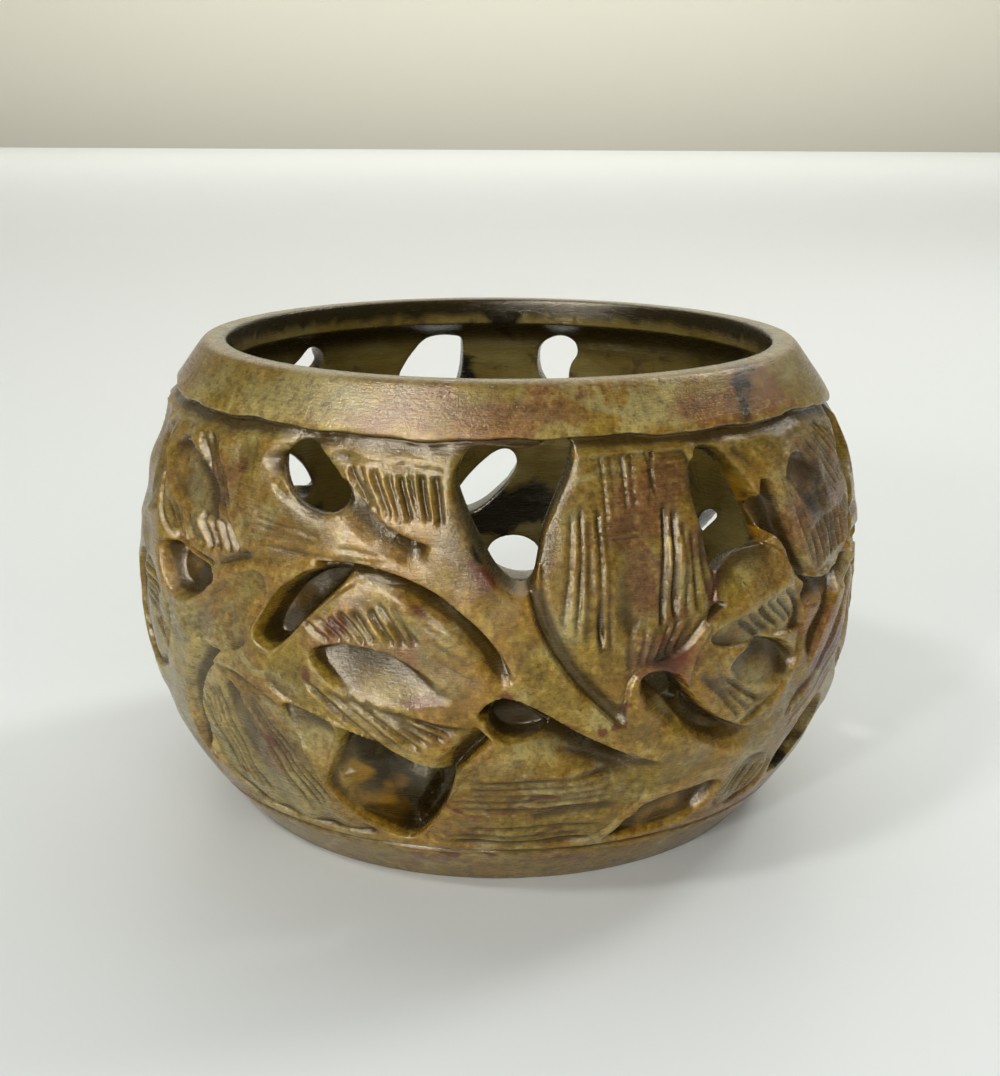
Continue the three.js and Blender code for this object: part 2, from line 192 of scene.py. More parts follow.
def strokes(turn, a0, a1, b0, b1, n, d=0.3, width=0.95, sway=0.35):
    """A row of knife lines, from line a0-a1 across to line b0-b1."""
    a0, a1, b0, b1 = (np.array(v, float) for v in (a0, a1, b0, b1))
    for i in range(n):
        u = (i + rng.uniform(-0.14, 0.14)) / max(n - 1, 1)
        s, e = a0 + (b0 - a0) * u, a1 + (b1 - a1) * u
        s, e = s + (e - s) * rng.uniform(-0.03, 0.08), e - (e - s) * rng.uniform(-0.03, 0.08)
        mid = (s + e) / 2 + np.array([rng.uniform(-sway, sway), rng.uniform(-sway, sway)])
        p = soften(flat([s, mid, e], turn), False)
        w, x, z = patch(p, 1.4)
        dist, t, _, _ = to_path(x, z, p, False)
        depth = 1.35 * d * rng.uniform(0.55, 1.25) * step(t, -0.02, 0.14) * step(1 - t, -0.02, 0.14)
        k = np.clip(1 - dist / (width / 2 * rng.uniform(0.9, 1.15)), 0, 1)
        rim = np.clip(1 - abs(dist - width * 0.62) / 0.25, 0, 1)
        DEPTH[w] += depth * (k ** 1.1 - 0.16 * rim)
        PAINTED_LINE_SHADE[w] = np.maximum(PAINTED_LINE_SHADE[w], np.clip(depth / 0.25, 0, 1) * k ** 1.6)


def gap(turn, at, slide=0.0, rise=0.0, open_in=0.0):
    """A hole right through the wall. Inside, it is moved by slide degrees and
    rise mm, and open_in mm wider."""
    w, x, z, s, c = region(at, turn, 8.0)
    GAP[w] = np.minimum(GAP[w], s)
    w, x, z, s, c = region([(a, h + rise) for a, h in at], turn + slide, 8.0)
    GAP_IN[w] = np.minimum(GAP_IN[w], s - open_in)


# ---------------------------------------------------------------- the carving
# Each entry: kind, then its arguments. Later cuts go over earlier ones.
CARVING = {
    # leaf at the upper left, under the band
    "topLeft": [
        (leaf, dict(at=[(-63.5, 55.6), (-54, 56.4), (-50, 56), (-45.6, 52), (-41.6, 47.6), (-38.6, 44.6), (-38, 42.6), (-41, 41), (-46, 40.2), (-52, 40.6), (-57, 41.8), (-60.6, 44), (-61.6, 47.4), (-64.6, 51.4)], d=0.4, crown=0.5, reach=2.0)),
        (dish, dict(at=[(-64, 52.6), (-60, 54.2), (-55, 54.3), (-50.6, 52.6), (-47, 50.5), (-44.2, 47.7), (-43.4, 45.9), (-47, 45.2), (-52, 45.8), (-57, 46.8), (-61, 49)], d=1.4, to=(0.6, 0.8), wall=0.8)),
        (strokes, dict(a0=(-53.4, 56), a1=(-43.4, 47), b0=(-49.6, 56), b1=(-40.2, 47.4), n=4, d=0.42, width=1.15)),
        (strokes, dict(a0=(-58.6, 46), a1=(-53.6, 41.3), b0=(-42.0, 46.4), b1=(-38.0, 43.0), n=9, d=0.55, width=1.45)),
    ],
    "farLeft": [
        (ledge, dict(at=[(-61.6, 44), (-62.6, 47.6), (-65, 51.6), (-66, 55.4)][::-1], d=1.2, width=5.0, power=0.9, a=0.1, b=0.05)),
        (dish, dict(at=[(-85, 53.4), (-80, 56), (-73, 55.6), (-67, 53.6), (-65, 48), (-66, 43.6), (-72, 41.6), (-79, 42), (-84, 46)], d=0.7, to=(1, 0), wall=2.4)),
    ],
    "topMiddle": [
        (leaf, dict(at=[(-28.4, 55.9), (-22, 56.1), (-12, 55.6), (-6.8, 55), (-6.6, 52.6), (-5.2, 49.4), (-3, 46.6), (-5, 45.4), (-10, 46.4), (-14.6, 48), (-19, 50.8), (-23, 53.4)], d=0.45, gz=0.05, crown=0.1, reach=1.0)),
        (strokes, dict(a0=(-21.8, 54.6), a1=(-17.4, 49.4), b0=(-9.0, 54.0), b1=(-7.6, 48.4), n=8, d=0.55, width=1.3)),
        (ledge, dict(at=[(-27.6, 55.2), (-20, 55.3), (-12, 54.8), (-7.2, 54.4)], d=0.55, width=1.6, face=0.25, a=0.05, b=0.05)),
        (ledge, dict(at=[(-22.6, 53), (-19.4, 50.6), (-16, 48.5), (-12, 46.9), (-8.4, 46.2)], d=2.1, width=2.8, face=0.35, power=1.0, a=0.06, b=0.2)),
    ],
    "scoop": [
        (pocket, dict(at=[(-39.4, 53.6), (-38, 56), (-31, 56.6), (-30.4, 53.6), (-31.4, 51.4), (-34.4, 51.6), (-37.4, 51.8)], d=1.7, gx=0.34, wall=3.0)),
        (ledge, dict(at=[(-22, 48.6), (-27, 49), (-31.6, 50.6), (-35.6, 52.4)], d=0.5, width=1.6, face=0.8)),
    ],
    # the stem from the upper left to the lower right
    "stem": [
        (ledge, dict(at=[(3.2, 44.4), (4.4, 41.6), (5.4, 38), (7.2, 34.9), (9.8, 31.6), (13.2, 28.3), (17.9, 24.4)][::-1], d=1.5, width=2.6, face=0.7, power=1.2, a=0.12, b=0.15)),
        (groove, dict(at=[(-44, 41.2), (-36, 42.8), (-28, 44.4), (-20, 44.6)], d=0.35, width=2.4)),
        (strokes, dict(a0=(-38, 49), a1=(-24, 46.4), b0=(-36, 44.6), b1=(-10, 44.4), n=5, d=0.12, width=0.7)),
    ],
    # the broad leaf that hangs from the band, right of the large gap
    "hanging": [
        (leaf, dict(at=[(10.8, 57), (20, 57), (29.6, 56.8), (29.4, 50), (30.6, 45.4), (32.0, 41.4), (31.4, 38.4), (28.8, 35.8), (26, 33.2), (22, 32), (18, 30.8), (17.6, 27.6), (17.4, 25.2), (13.6, 28.2), (10.2, 31.6), (7.6, 35.2), (5.6, 39.6), (5.2, 43.6), (5.6, 46.8), (8.2, 51.4), (10, 54.6)], d=0.8, gx=0.02, gz=0.012, crown=0.4, reach=1.8)),
        (dish, dict(at=[(15.4, 49.6), (18.6, 51), (21.8, 50.2), (23.4, 46), (23, 41), (21.4, 37), (18.6, 35), (16, 36.6), (15, 42)], d=1.0, to=(-1, -0.4), wall=2.2, low=0.5)),
        (strokes, dict(a0=(10.0, 51.0), a1=(8.4, 36.2), b0=(14.8, 50.8), b1=(15.2, 33.0), n=5, d=0.36, width=1.15, sway=0.5)),
        (strokes, dict(a0=(24.0, 51.2), a1=(22.4, 34.6), b0=(28.8, 47.6), b1=(30.2, 38.6), n=5, d=0.40, width=1.15, sway=0.5)),
        (strokes, dict(a0=(14.4, 56.6), a1=(14.8, 48.4), b0=(23.4, 56.6), b1=(22.8, 50.4), n=6, d=0.22, width=0.9, sway=0.7)),
        (strokes, dict(a0=(18, 36.6), a1=(17.8, 31.6), b0=(27.4, 37.4), b1=(24.6, 33.4), n=6, d=0.34, width=1.0)),
        (strokes, dict(a0=(11.4, 56.2), a1=(29.0, 56.4), b0=(9.0, 46.6), b1=(29.2, 47.0), n=15, d=0.10, width=0.6)),
        (groove, dict(at=[(12.4, 46.4), (12.8, 40), (14.4, 34)], d=0.28, width=1.6)),
    ],
    "arch": [
        (pocket, dict(at=[(-35.8, 33), (-34.2, 36.6), (-31, 40), (-27, 42.5), (-23.4, 43.6), (-19.4, 43.5), (-20.4, 41.4), (-23.6, 38.9), (-26.9, 36.1), (-29.9, 33.5), (-32.4, 31.9)], d=4.3, gx=-0.07, wall=1.1)),
        (ledge, dict(at=[(2.2, 30.6), (0.6, 33.8), (-2, 36.8), (-5, 39.2), (-9, 41.5), (-14, 43.2), (-20, 43.9), (-25, 43.6)][::-1], d=2.4, width=2.5, face=0.35, power=1.2, a=0.02, b=0.12)),
    ],
    # the scooped leaf left of the middle
    "broad": [
        (leaf, dict(at=[(-31, 32.8), (-27.2, 35.8), (-24, 38.6), (-20.8, 41.2), (-17, 42.8), (-12, 42.2), (-7, 40), (-2.4, 36.6), (0.8, 32.8), (1.4, 29), (-1, 26), (-4.4, 22.6), (-7.4, 19.4), (-10, 19.4), (-13, 20.4), (-17, 22.3), (-21, 23.9), (-26, 25.4), (-31.6, 26.2), (-34, 29)], d=0.25, gz=0.008, crown=0.35, reach=2.4)),
        (dish, dict(at=[(-26.8, 33.2), (-22, 34.6), (-16, 34.6), (-12, 33.2), (-8, 31.0), (-5.2, 29.4), (-7, 27.6), (-12.4, 26.8), (-18, 26.8), (-22.6, 28.8)], d=2.7, to=(-0.1, 1), wall=0.9, low=0.02)),
        (strokes, dict(a0=(-27.0, 37.0), a1=(-22.8, 34.8), b0=(-14.0, 40.4), b1=(-10.2, 35.0), n=8, d=0.40, width=1.1)),
        (strokes, dict(a0=(-26.8, 29.6), a1=(-13.8, 20.6), b0=(-11.6, 26.4), b1=(-3.2, 25.0), n=7, d=0.48, width=1.2)),
        (strokes, dict(a0=(-12, 40.4), a1=(-3, 36), b0=(-8.6, 34), b1=(-1.6, 31), n=4, d=0.12, width=0.8)),
    ],
    "lowLeft": [
        (leaf, dict(at=[(-44.6, 28.6), (-41, 28.6), (-36, 27.6), (-31, 25.4), (-28.4, 20.4), (-26.4, 15.2), (-22.6, 10.6), (-18.4, 7.6), (-30, 7.3), (-40, 7.6), (-48, 9.4), (-50.6, 13), (-51.4, 17), (-50.6, 22), (-48, 26)], d=0.35, crown=0.55, reach=2.6)),
        (dish, dict(at=[(-42, 27.4), (-38.6, 25.4), (-36.4, 21), (-34, 16.6), (-32.2, 12.4), (-36, 11.4), (-40.4, 14.4), (-43, 18.8), (-43.6, 23.6)], d=1.0, to=(-0.5, 1), wall=1.8)),
        (strokes, dict(a0=(-49.6, 23), a1=(-45.4, 11), b0=(-44.4, 26.4), b1=(-39.4, 10.4), n=6, d=0.28, width=0.95)),
        (strokes, dict(a0=(-39.6, 26.6), a1=(-30.6, 10), b0=(-36.4, 26), b1=(-25.6, 11.6), n=4, d=0.28, width=1.0)),
    ],
    "wedge": [
        (leaf, dict(at=[(-31.6, 26.2), (-26, 25.4), (-22, 24.2), (-24.4, 19.4), (-25.6, 15.4), (-28, 19.4), (-30.6, 23.4)], d=0.9, gx=0.05, gz=0.16, crown=0.1, reach=0.8)),
        (pocket, dict(at=[(-21.2, 24.0), (-17, 22.4), (-12.8, 20.6), (-9, 19.5), (-6.4, 19), (-6.8, 16.2), (-9, 12.8), (-11.8, 9.8), (-14, 7.7), (-18, 8.6), (-22, 11), (-26.4, 15.0), (-25.6, 16.2), (-24.4, 18.2), (-22.6, 21.4)], d=5.2, gx=0.62, gz=0.10, wall=0.35, least=1.35)),
        (ledge, dict(at=[(-23, 24.1), (-17, 22.4), (-13, 20.6), (-9, 19.6), (-6.4, 18.8)], d=4.6, width=6, face=0.25, power=0.7, a=0.30, b=0.05)),
        (ledge, dict(at=[(-6.2, 19), (-7, 16), (-9.2, 12.4), (-12, 9.6), (-14.2, 7.9)], d=4.6, width=4.4, face=0.35, power=0.8, a=0.02, b=0.25)),
    ],
    "sickle": [
        (leaf, dict(at=[(-12.8, 7.6), (-9.4, 11.6), (-6.6, 16), (-4, 19.6), (0, 23), (5, 23.8), (10, 22.2), (15, 20.6), (20.4, 18.6), (23.4, 15.6), (21.4, 12.6), (18.8, 10.8), (17, 7.6), (2, 7.1)], d=0.35, crown=0.3, reach=2.0)),
        (ledge, dict(at=[(-2.6, 26.4), (-1.2, 28.6), (1.4, 29.3), (5.2, 27.5), (10, 24.8), (14.4, 22.5), (19, 20.5), (25.6, 18.2)], d=4.2, width=6.0, face=0.35, power=1.2, a=0.05, b=0.30)),
        (pocket, dict(at=[(-2.2, 25.8), (-1, 28.5), (1.6, 29), (6, 26.8), (9, 25), (6, 23.4), (0.4, 23.2)], d=4.8, gx=-0.08, wall=1.1)),
        (ledge, dict(at=[(-1, 24.2), (-4, 21.6), (-6.2, 19.2), (-8, 16.6)], d=2.6, width=3.0, face=0.5, a=0.02, b=0.15)),
        (strokes, dict(a0=(-5.4, 17.4), a1=(17.4, 18.4), b0=(-8.6, 13.8), b1=(16.6, 14.2), n=5, d=0.36, width=1.2)),
        (strokes, dict(a0=(-7, 10.4), a1=(17.4, 10.6), b0=(-10.4, 8.3), b1=(15.4, 8.4), n=3, d=0.3, width=0.9)),
        (groove, dict(at=[(4, 12.4), (10, 13.2), (18.4, 13.6)], d=0.7, width=2.4)),
        (strokes, dict(a0=(-5.6, 20), a1=(-2.8, 21.4), b0=(-6.8, 17), b1=(-1.6, 18), n=6, d=0.14, width=0.6)),
    ],
    "slot": [
        (pocket, dict(at=[(17.4, 7.5), (19.4, 9.2), (19.8, 10.8), (21.6, 11.6), (22, 13), (26, 13.9), (31, 14.5), (35.6, 14.6), (38.4, 13), (36.4, 9.6), (34, 8.1), (28, 7.4), (22, 7.2)], d=2.5, gx=-0.06, gz=0.34, wall=1.2)),
    ],
    "hook": [
        (pocket, dict(at=[(18.4, 30.4), (19.8, 31.7), (23, 31.6), (25.6, 30), (27.0, 27.8), (29, 25.6), (32.6, 23.4), (36.8, 21.4), (39, 20.8), (32, 20.0), (27.4, 20.8), (23, 23.2), (20, 25.8), (18.6, 28.2)], d=2.2, gx=0.14, gz=0.30, wall=2.4)),
        (ledge, dict(at=[(24.6, 30.6), (26.8, 28), (29.2, 25.5), (33, 23.2), (37.4, 21.3), (41, 20.8)], d=3.6, width=3.4, face=0.3, power=0.9, a=0.02, b=0.35)),
    ],
    # the leaf right of the middle, with its long ridge
    "spoon": [
        (leaf, dict(at=[(29, 34.6), (31.5, 38.6), (31.2, 41.6), (33, 43.6), (36, 44.6), (40, 44.4), (44, 42.8), (46.6, 40), (48.8, 37.4), (49.8, 34), (49.6, 30.6), (47.8, 27), (44, 24.6), (39.6, 22), (36, 21.6), (32, 23.3), (28.4, 26.2), (26.4, 29.2), (27.2, 32.2)], d=0.35, gx=0.01, crown=0.5, reach=1.6)),
        (leaf, dict(at=[(29, 34.9), (35, 36.9), (43, 38.9), (47.4, 39.3), (44, 42.9), (40, 44.5), (36, 44.7), (33, 43.7), (31.2, 41.5), (31.5, 38.6)], d=1.0, gx=-0.03, gz=0.20, crown=0.2, reach=0.8)),
        (leaf, dict(at=[(29, 34.5), (35, 36.5), (43, 38.5), (47.4, 39.1), (49.6, 35), (49.4, 31.6), (44, 32.4), (36, 32.2), (31, 32.8)], d=0.85, gx=0.02, gz=-0.17, crown=0.05, reach=0.6)),
        (dish, dict(at=[(32.6, 30.4), (36, 32.2), (40, 32.8), (44, 31.8), (47.4, 29.8), (48.4, 28), (46.8, 26.3), (43, 25.4), (38, 25.8), (34.2, 27.8)], d=2.1, to=(0.35, 1), wall=0.9, low=0.1)),
        (strokes, dict(a0=(34.6, 36.0), a1=(40.6, 32.6), b0=(44.0, 38.0), b1=(49.0, 34.2), n=6, d=0.42, width=1.2)),
        (strokes, dict(a0=(28.2, 30.2), a1=(37.2, 22.7), b0=(31.2, 29.8), b1=(41.0, 24.4), n=3, d=0.45, width=1.2)),
        (pocket, dict(at=[(28.6, 36.4), (30.4, 38.8), (32.6, 38.9), (33.6, 37.6), (31.2, 36.4), (29, 35.4)], d=2.2, wall=1.2)),
    ],
    "curl": [
        (pocket, dict(at=[(40.0, 50.2), (41.2, 51.5), (44, 51.4), (46, 48.8), (47.2, 45.6), (48.4, 42.6), (50, 40.2), (53, 38.4), (50, 37.2), (47.4, 38.4), (45.6, 40.2), (44.6, 41.8), (43.2, 43.6), (41.2, 45.4), (40.1, 47.6)], d=3.0, gx=-0.28, wall=1.2)),
        (ledge, dict(at=[(49, 38.4), (53, 37.4), (58, 37.3), (64, 37.4), (69, 38.6)], d=2.8, width=3.4, face=0.25, power=0.8, a=0.1, b=0.2)),
        (groove, dict(at=[(36.4, 55.6), (38.6, 54.6), (41.6, 52), (43.4, 49.8)], d=0.5, width=2.6)),
    ],
    # the dark leaf at the upper right
    "shade": [
        (leaf, dict(at=[(45.6, 51.8), (47.6, 54.4), (53, 55.8), (62, 56), (68.4, 54), (71.4, 49), (71, 43), (67.6, 39.2), (64.6, 38.2), (62, 38.4), (59.4, 37.6), (56.6, 38.3), (54, 37.6), (51.6, 39), (50, 41.6), (48.6, 45.4), (47, 48.6)], d=0.3, gx=0.02, crown=0.7, reach=1.8)),
        (dish, dict(at=[(46.4, 51), (48.6, 53.4), (53, 53.4), (56.8, 51.6), (58.8, 48), (57, 45.4), (52.6, 45.4), (49.6, 47.4), (47.6, 49.6)], d=1.3, to=(-0.2, 1), wall=1.2)),
        (strokes, dict(a0=(50.6, 55.0), a1=(62.0, 46.4), b0=(62, 55.6), b1=(70.6, 48.4), n=7, d=0.36, width=1.05)),
        (strokes, dict(a0=(51.4, 44.4), a1=(53.6, 38.6), b0=(66.0, 45.6), b1=(69, 40.4), n=10, d=0.45, width=1.2)),
    ],
    "eye": [
        (pocket, dict(at=[(-60, 41), (-55, 42), (-50, 41), (-45.4, 40.4), (-42.4, 39.4), (-45.4, 37), (-50.6, 34.4), (-55, 34.4), (-58.6, 37)], d=3.6, gz=0.2, gx=0.05, wall=1.4)),
        (ledge, dict(at=[(-58, 43.2), (-53, 42.2), (-47, 41), (-42.4, 40.6)], d=1.8, width=2.4, face=0.5)),
    ],
    "slope": [
        (leaf, dict(at=[(-42, 38.8), (-38, 41), (-33.4, 42), (-32.6, 38), (-35.6, 34.4), (-37.6, 31), (-44, 29.6), (-50, 31.6), (-55.4, 33.8), (-50, 34.2), (-45, 36.8)], d=0.3, crown=0.3, reach=2)),
        (strokes, dict(a0=(-60, 31.6), a1=(-40, 38.4), b0=(-56, 28.6), b1=(-38, 33.6), n=6, d=0.12, width=0.8)),
        (groove, dict(at=[(-35.4, 43.4), (-40, 42.2), (-44, 40.6)], d=0.8, width=2.0)),
    ],
    "rib": [
        (ledge, dict(at=[(-38.4, 34.2), (-41, 31.8), (-44.2, 29), (-47.6, 25.8), (-50, 22), (-51.4, 18), (-51.6, 14.6)], d=2.3, width=3.6, face=0.5, power=1.3, a=0.2, b=0.05)),
        (pocket, dict(at=[(-50.8, 19.4), (-51.8, 16), (-50.4, 12.6), (-53, 11), (-56.6, 12.4), (-55.6, 16), (-53, 19)], d=2.4, wall=1.6)),
        (leaf, dict(at=[(-74, 37), (-66, 38.6), (-59, 35.6), (-55.6, 31), (-57.6, 25.6), (-62.6, 22.6), (-70, 22), (-75.6, 25.4), (-77, 31)], d=0.7, crown=0.6, reach=2.6)),
        (strokes, dict(a0=(-64.6, 29.4), a1=(-58.4, 25.4), b0=(-62, 31), b1=(-56.2, 28), n=5, d=0.3, width=0.8)),
        (strokes, dict(a0=(-75, 33), a1=(-62, 30), b0=(-72, 36.6), b1=(-60, 34.6), n=5, d=0.28)),
    ],
    "sweep": [
        (ledge, dict(at=[(50.6, 26), (53.2, 29.8), (57.4, 33), (62, 35.6), (67.6, 38.2)][::-1], d=1.7, width=5, power=1.3, face=0.45, a=0.1, b=0.25)),
        (groove, dict(at=[(47, 20.6), (53, 25), (59, 29.2), (66, 34), (74, 38)], d=0.5, width=2.2)),
        (strokes, dict(a0=(45, 19), a1=(66, 33), b0=(48, 15.6), b1=(69, 27), n=5, d=0.12, width=0.8)),
    ],
    "den": [
        (pocket, dict(at=[(50.4, 13.6), (52.8, 17.6), (56, 20.2), (60.4, 20.8), (64.2, 18), (62.8, 12.6), (57, 9.6), (52, 9.8)], d=4.7, gz=0.1, wall=1.4)),
        (leaf, dict(at=[(37.6, 15.6), (44, 16.6), (49.6, 14.4), (50.6, 10.4), (47, 8), (40, 7.6), (37.4, 10)], d=0.5, crown=0.4, reach=1.6)),
        (strokes, dict(a0=(40, 15), a1=(38.6, 10.6), b0=(48.8, 13.6), b1=(47.2, 9), n=6, d=0.32, width=0.9)),
    ],
    "outer": [
        (leaf, dict(at=[(63.4, 30.4), (67, 34.4), (72, 36.6), (77, 34.6), (80.6, 30), (81.6, 24.6), (79, 19.4), (74, 17.4), (68.4, 19.6), (64.4, 24.4)], d=0.45, crown=0.6, reach=2.4)),
        (dish, dict(at=[(66.4, 30), (70, 33), (74.4, 32.6), (77.6, 29), (78.6, 24.6), (76, 20.8), (71.6, 21.4), (67.6, 25.4)], d=1.5, to=(-0.5, 1), wall=1.6)),
        (strokes, dict(a0=(67.6, 22.4), a1=(65.2, 26.6), b0=(76, 18.6), b1=(74, 22.6), n=7, d=0.32)),
        (ledge, dict(at=[(66.4, 37.4), (73, 38.8), (79, 36.4), (83.6, 31)][::-1], d=1.8, width=3.2, a=0.2, b=0.2)),
        (ledge, dict(at=[(82.6, 22), (80, 16.6), (74, 14.2), (67, 16)][::-1], d=1.8, width=3.4, a=0.2, b=0.2)),
    ],
    "far": [
        (leaf, dict(at=[(-7.2, 56.6), (6.4, 56.6), (7, 50), (5.8, 44), (3.6, 39.6), (-1, 37.8), (-5.2, 40.4), (-7.8, 45.6), (-8, 51)], d=0.6, crown=0.5, reach=2.4)),
        (dish, dict(at=[(-4.8, 50), (-1, 52.4), (3, 51), (4.6, 46), (2.8, 41.4), (-1, 39.6), (-4.2, 42.4)], d=1.2, to=(1, 0.6), wall=1.6)),
        (strokes, dict(a0=(-6.6, 50), a1=(-5.6, 43), b0=(-4.4, 54.6), b1=(-4.2, 51), n=3, d=0.35)),
        (strokes, dict(a0=(-3, 56), a1=(-3, 52.6), b0=(5, 56), b1=(5, 51.6), n=6, d=0.35)),
        (leaf, dict(at=[(-23, 27.4), (-19.4, 31.8), (-13.4, 33.4), (-7.6, 31.4), (-4.8, 27), (-8, 24.2), (-14, 23.2), (-20, 24)], d=0.4, crown=0.5, reach=2)),
        (dish, dict(at=[(-21, 28), (-16.5, 31.2), (-11, 31), (-7.4, 27.8), (-11, 25.6), (-16.6, 25.2)], d=1.5, to=(0, 1), wall=1.4)),
        (strokes, dict(a0=(-20.6, 27), a1=(-18, 24.4), b0=(-9.6, 26), b1=(-7.4, 24.6), n=6, d=0.3)),
        (ledge, dict(at=[(-24, 27.4), (-20, 32.4), (-13.4, 34.6), (-6.6, 32.4), (-3, 27.6)][::-1], d=2.0, width=3.2, a=0.15, b=0.15)),
        (ledge, dict(at=[(-7.6, 45), (-6.6, 40.4), (-8.6, 36.8), (-13, 35.2), (-18.4, 35)], d=1.7, width=3.4)),
        (ledge, dict(at=[(15.6, 31.6), (11.4, 36.4), (7, 40.6), (5.4, 45)], d=1.7, width=3.4)),
        (pocket, dict(at=[(5, 8), (8, 11.4), (13, 14), (18, 13), (19.4, 9.6), (15, 7.7), (9, 7.5)], d=2.8, gz=0.1, wall=1.2)),
        (leaf, dict(at=[(5, 22), (12, 26), (19, 27), (24, 23), (22, 18), (15, 15.6), (8, 16.6)], d=0.4, crown=0.5, reach=2)),
        (dish, dict(at=[(8, 21.6), (13, 24.4), (18.6, 24.6), (21, 21.4), (17.6, 18.6), (11.6, 18.2)], d=1.3, to=(0, 1), wall=1.4)),
        (strokes, dict(a0=(9, 20), a1=(11.6, 16.6), b0=(19.6, 21.4), b1=(22, 18.6), n=6, d=0.3)),
    ],
    "facing": [
        (pocket, dict(at=[(-33, 12), (-29, 15.4), (-24, 16), (-21, 12.6), (-24, 9.4), (-30, 8.8)], d=2.6, wall=1.2)),
    ],
}
GAPS = {
    "left": [(-31.9, 56.2), (-28.4, 57.1), (-26.2, 55.6), (-22.4, 53.4), (-19.2, 50.4), (-20.6, 49.2), (-25.6, 49.2), (-29.4, 50.6), (-32, 53.4)],
    "middle": [(-5.8, 55.4), (-4, 56.7), (-1, 56.8), (3, 56.3), (6, 56.7), (7.4, 57.5), (9.6, 57.7), (11, 56.8), (10.2, 54.6), (8.2, 51.2), (5.8, 47.4), (5.2, 44.4), (4.5, 41.6), (2.4, 40.8), (-0.6, 42.7), (-3.2, 46.2), (-5.2, 49.6), (-6.8, 52.8)],
    "right": [(29.2, 55.2), (28.8, 52), (29, 49.6), (29.7, 46.8), (30.3, 44.4), (31, 42.2), (32.4, 42.8), (34.4, 44.2), (37, 44.9), (40, 44.6), (42.8, 45.2), (41.2, 48), (38.8, 51.6), (36.2, 54.8), (34, 56.2), (31, 56.4)],
    "small": [(20.2, 30.7), (22.4, 31.3), (24.8, 30.4), (26, 28.9), (27.2, 26.9), (25.4, 26.5), (23, 28.4), (21.2, 29.8)],
    "side": [(70.4, 54), (74, 56.2), (80, 55.6), (82, 52.4), (80.4, 48.8), (77, 46.6), (72.6, 47.4), (70, 50.4)],
    "crescent": [(-31.6, 33.4), (-30, 36.4), (-27.4, 38.8), (-24.6, 40), (-22.6, 38.8), (-23.4, 36.2), (-25.6, 33.4), (-28.6, 31.6)],
    "farTall": [(8.2, 56.4), (9.6, 57.2), (15.4, 57.3), (18.4, 56), (21.2, 53), (22.8, 50.2), (22, 46.5), (17, 44), (11.5, 45), (8.4, 49.5)],
    "farKite": [(-18.2, 54.6), (-17.4, 56.6), (-14, 57.6), (-9.4, 56), (-8.6, 53), (-9.2, 49.8), (-12.5, 47), (-15.4, 49), (-15.8, 52.4)],
    "farSlant": [(10, 29.4), (6, 33.4), (0.6, 37.2), (-3, 37.4), (-4.4, 34.6), (-0.6, 30.4), (4.2, 27), (8.6, 26.2)],
    "farLow": [(-11.4, 17.4), (-9, 21.4), (-4, 22.8), (1.6, 21.6), (3, 18.4), (-1, 15.6), (-7, 15.2)],
}
# How the carver's cut leans through the wall at the front.
GAP_LEAN = {"left": (-4.2, -0.6, 0.6), "middle": (0.6, 0.6, 0.0), "right": (0.5, -2.0, 0.3), "small": (0.5, -0.3, 0.2)}
LENGTHS = [
    (107, ["hanging", "stem", "topMiddle", "broad", "arch", "sickle", "wedge", "spoon", "slot", "hook", "curl"], ["middle", "small"]),
    (-106, ["hanging", "stem", "broad", "arch", "sickle", "lowLeft", "wedge", "slot", "scoop", "topMiddle", "eye", "slope", "rib"], ["left", "middle", "small", "crescent"]),
    (180, ["far"], ["farTall", "farKite", "farSlant", "farLow"]),
    (0, ["farLeft", "outer", "sweep", "rib", "slope", "shade", "curl", "spoon", "hanging", "topMiddle", "topLeft", "scoop", "stem",
         "broad", "arch", "lowLeft", "sickle", "wedge", "hook", "slot", "eye", "den"],
     ["left", "middle", "right", "small", "side"]),
]


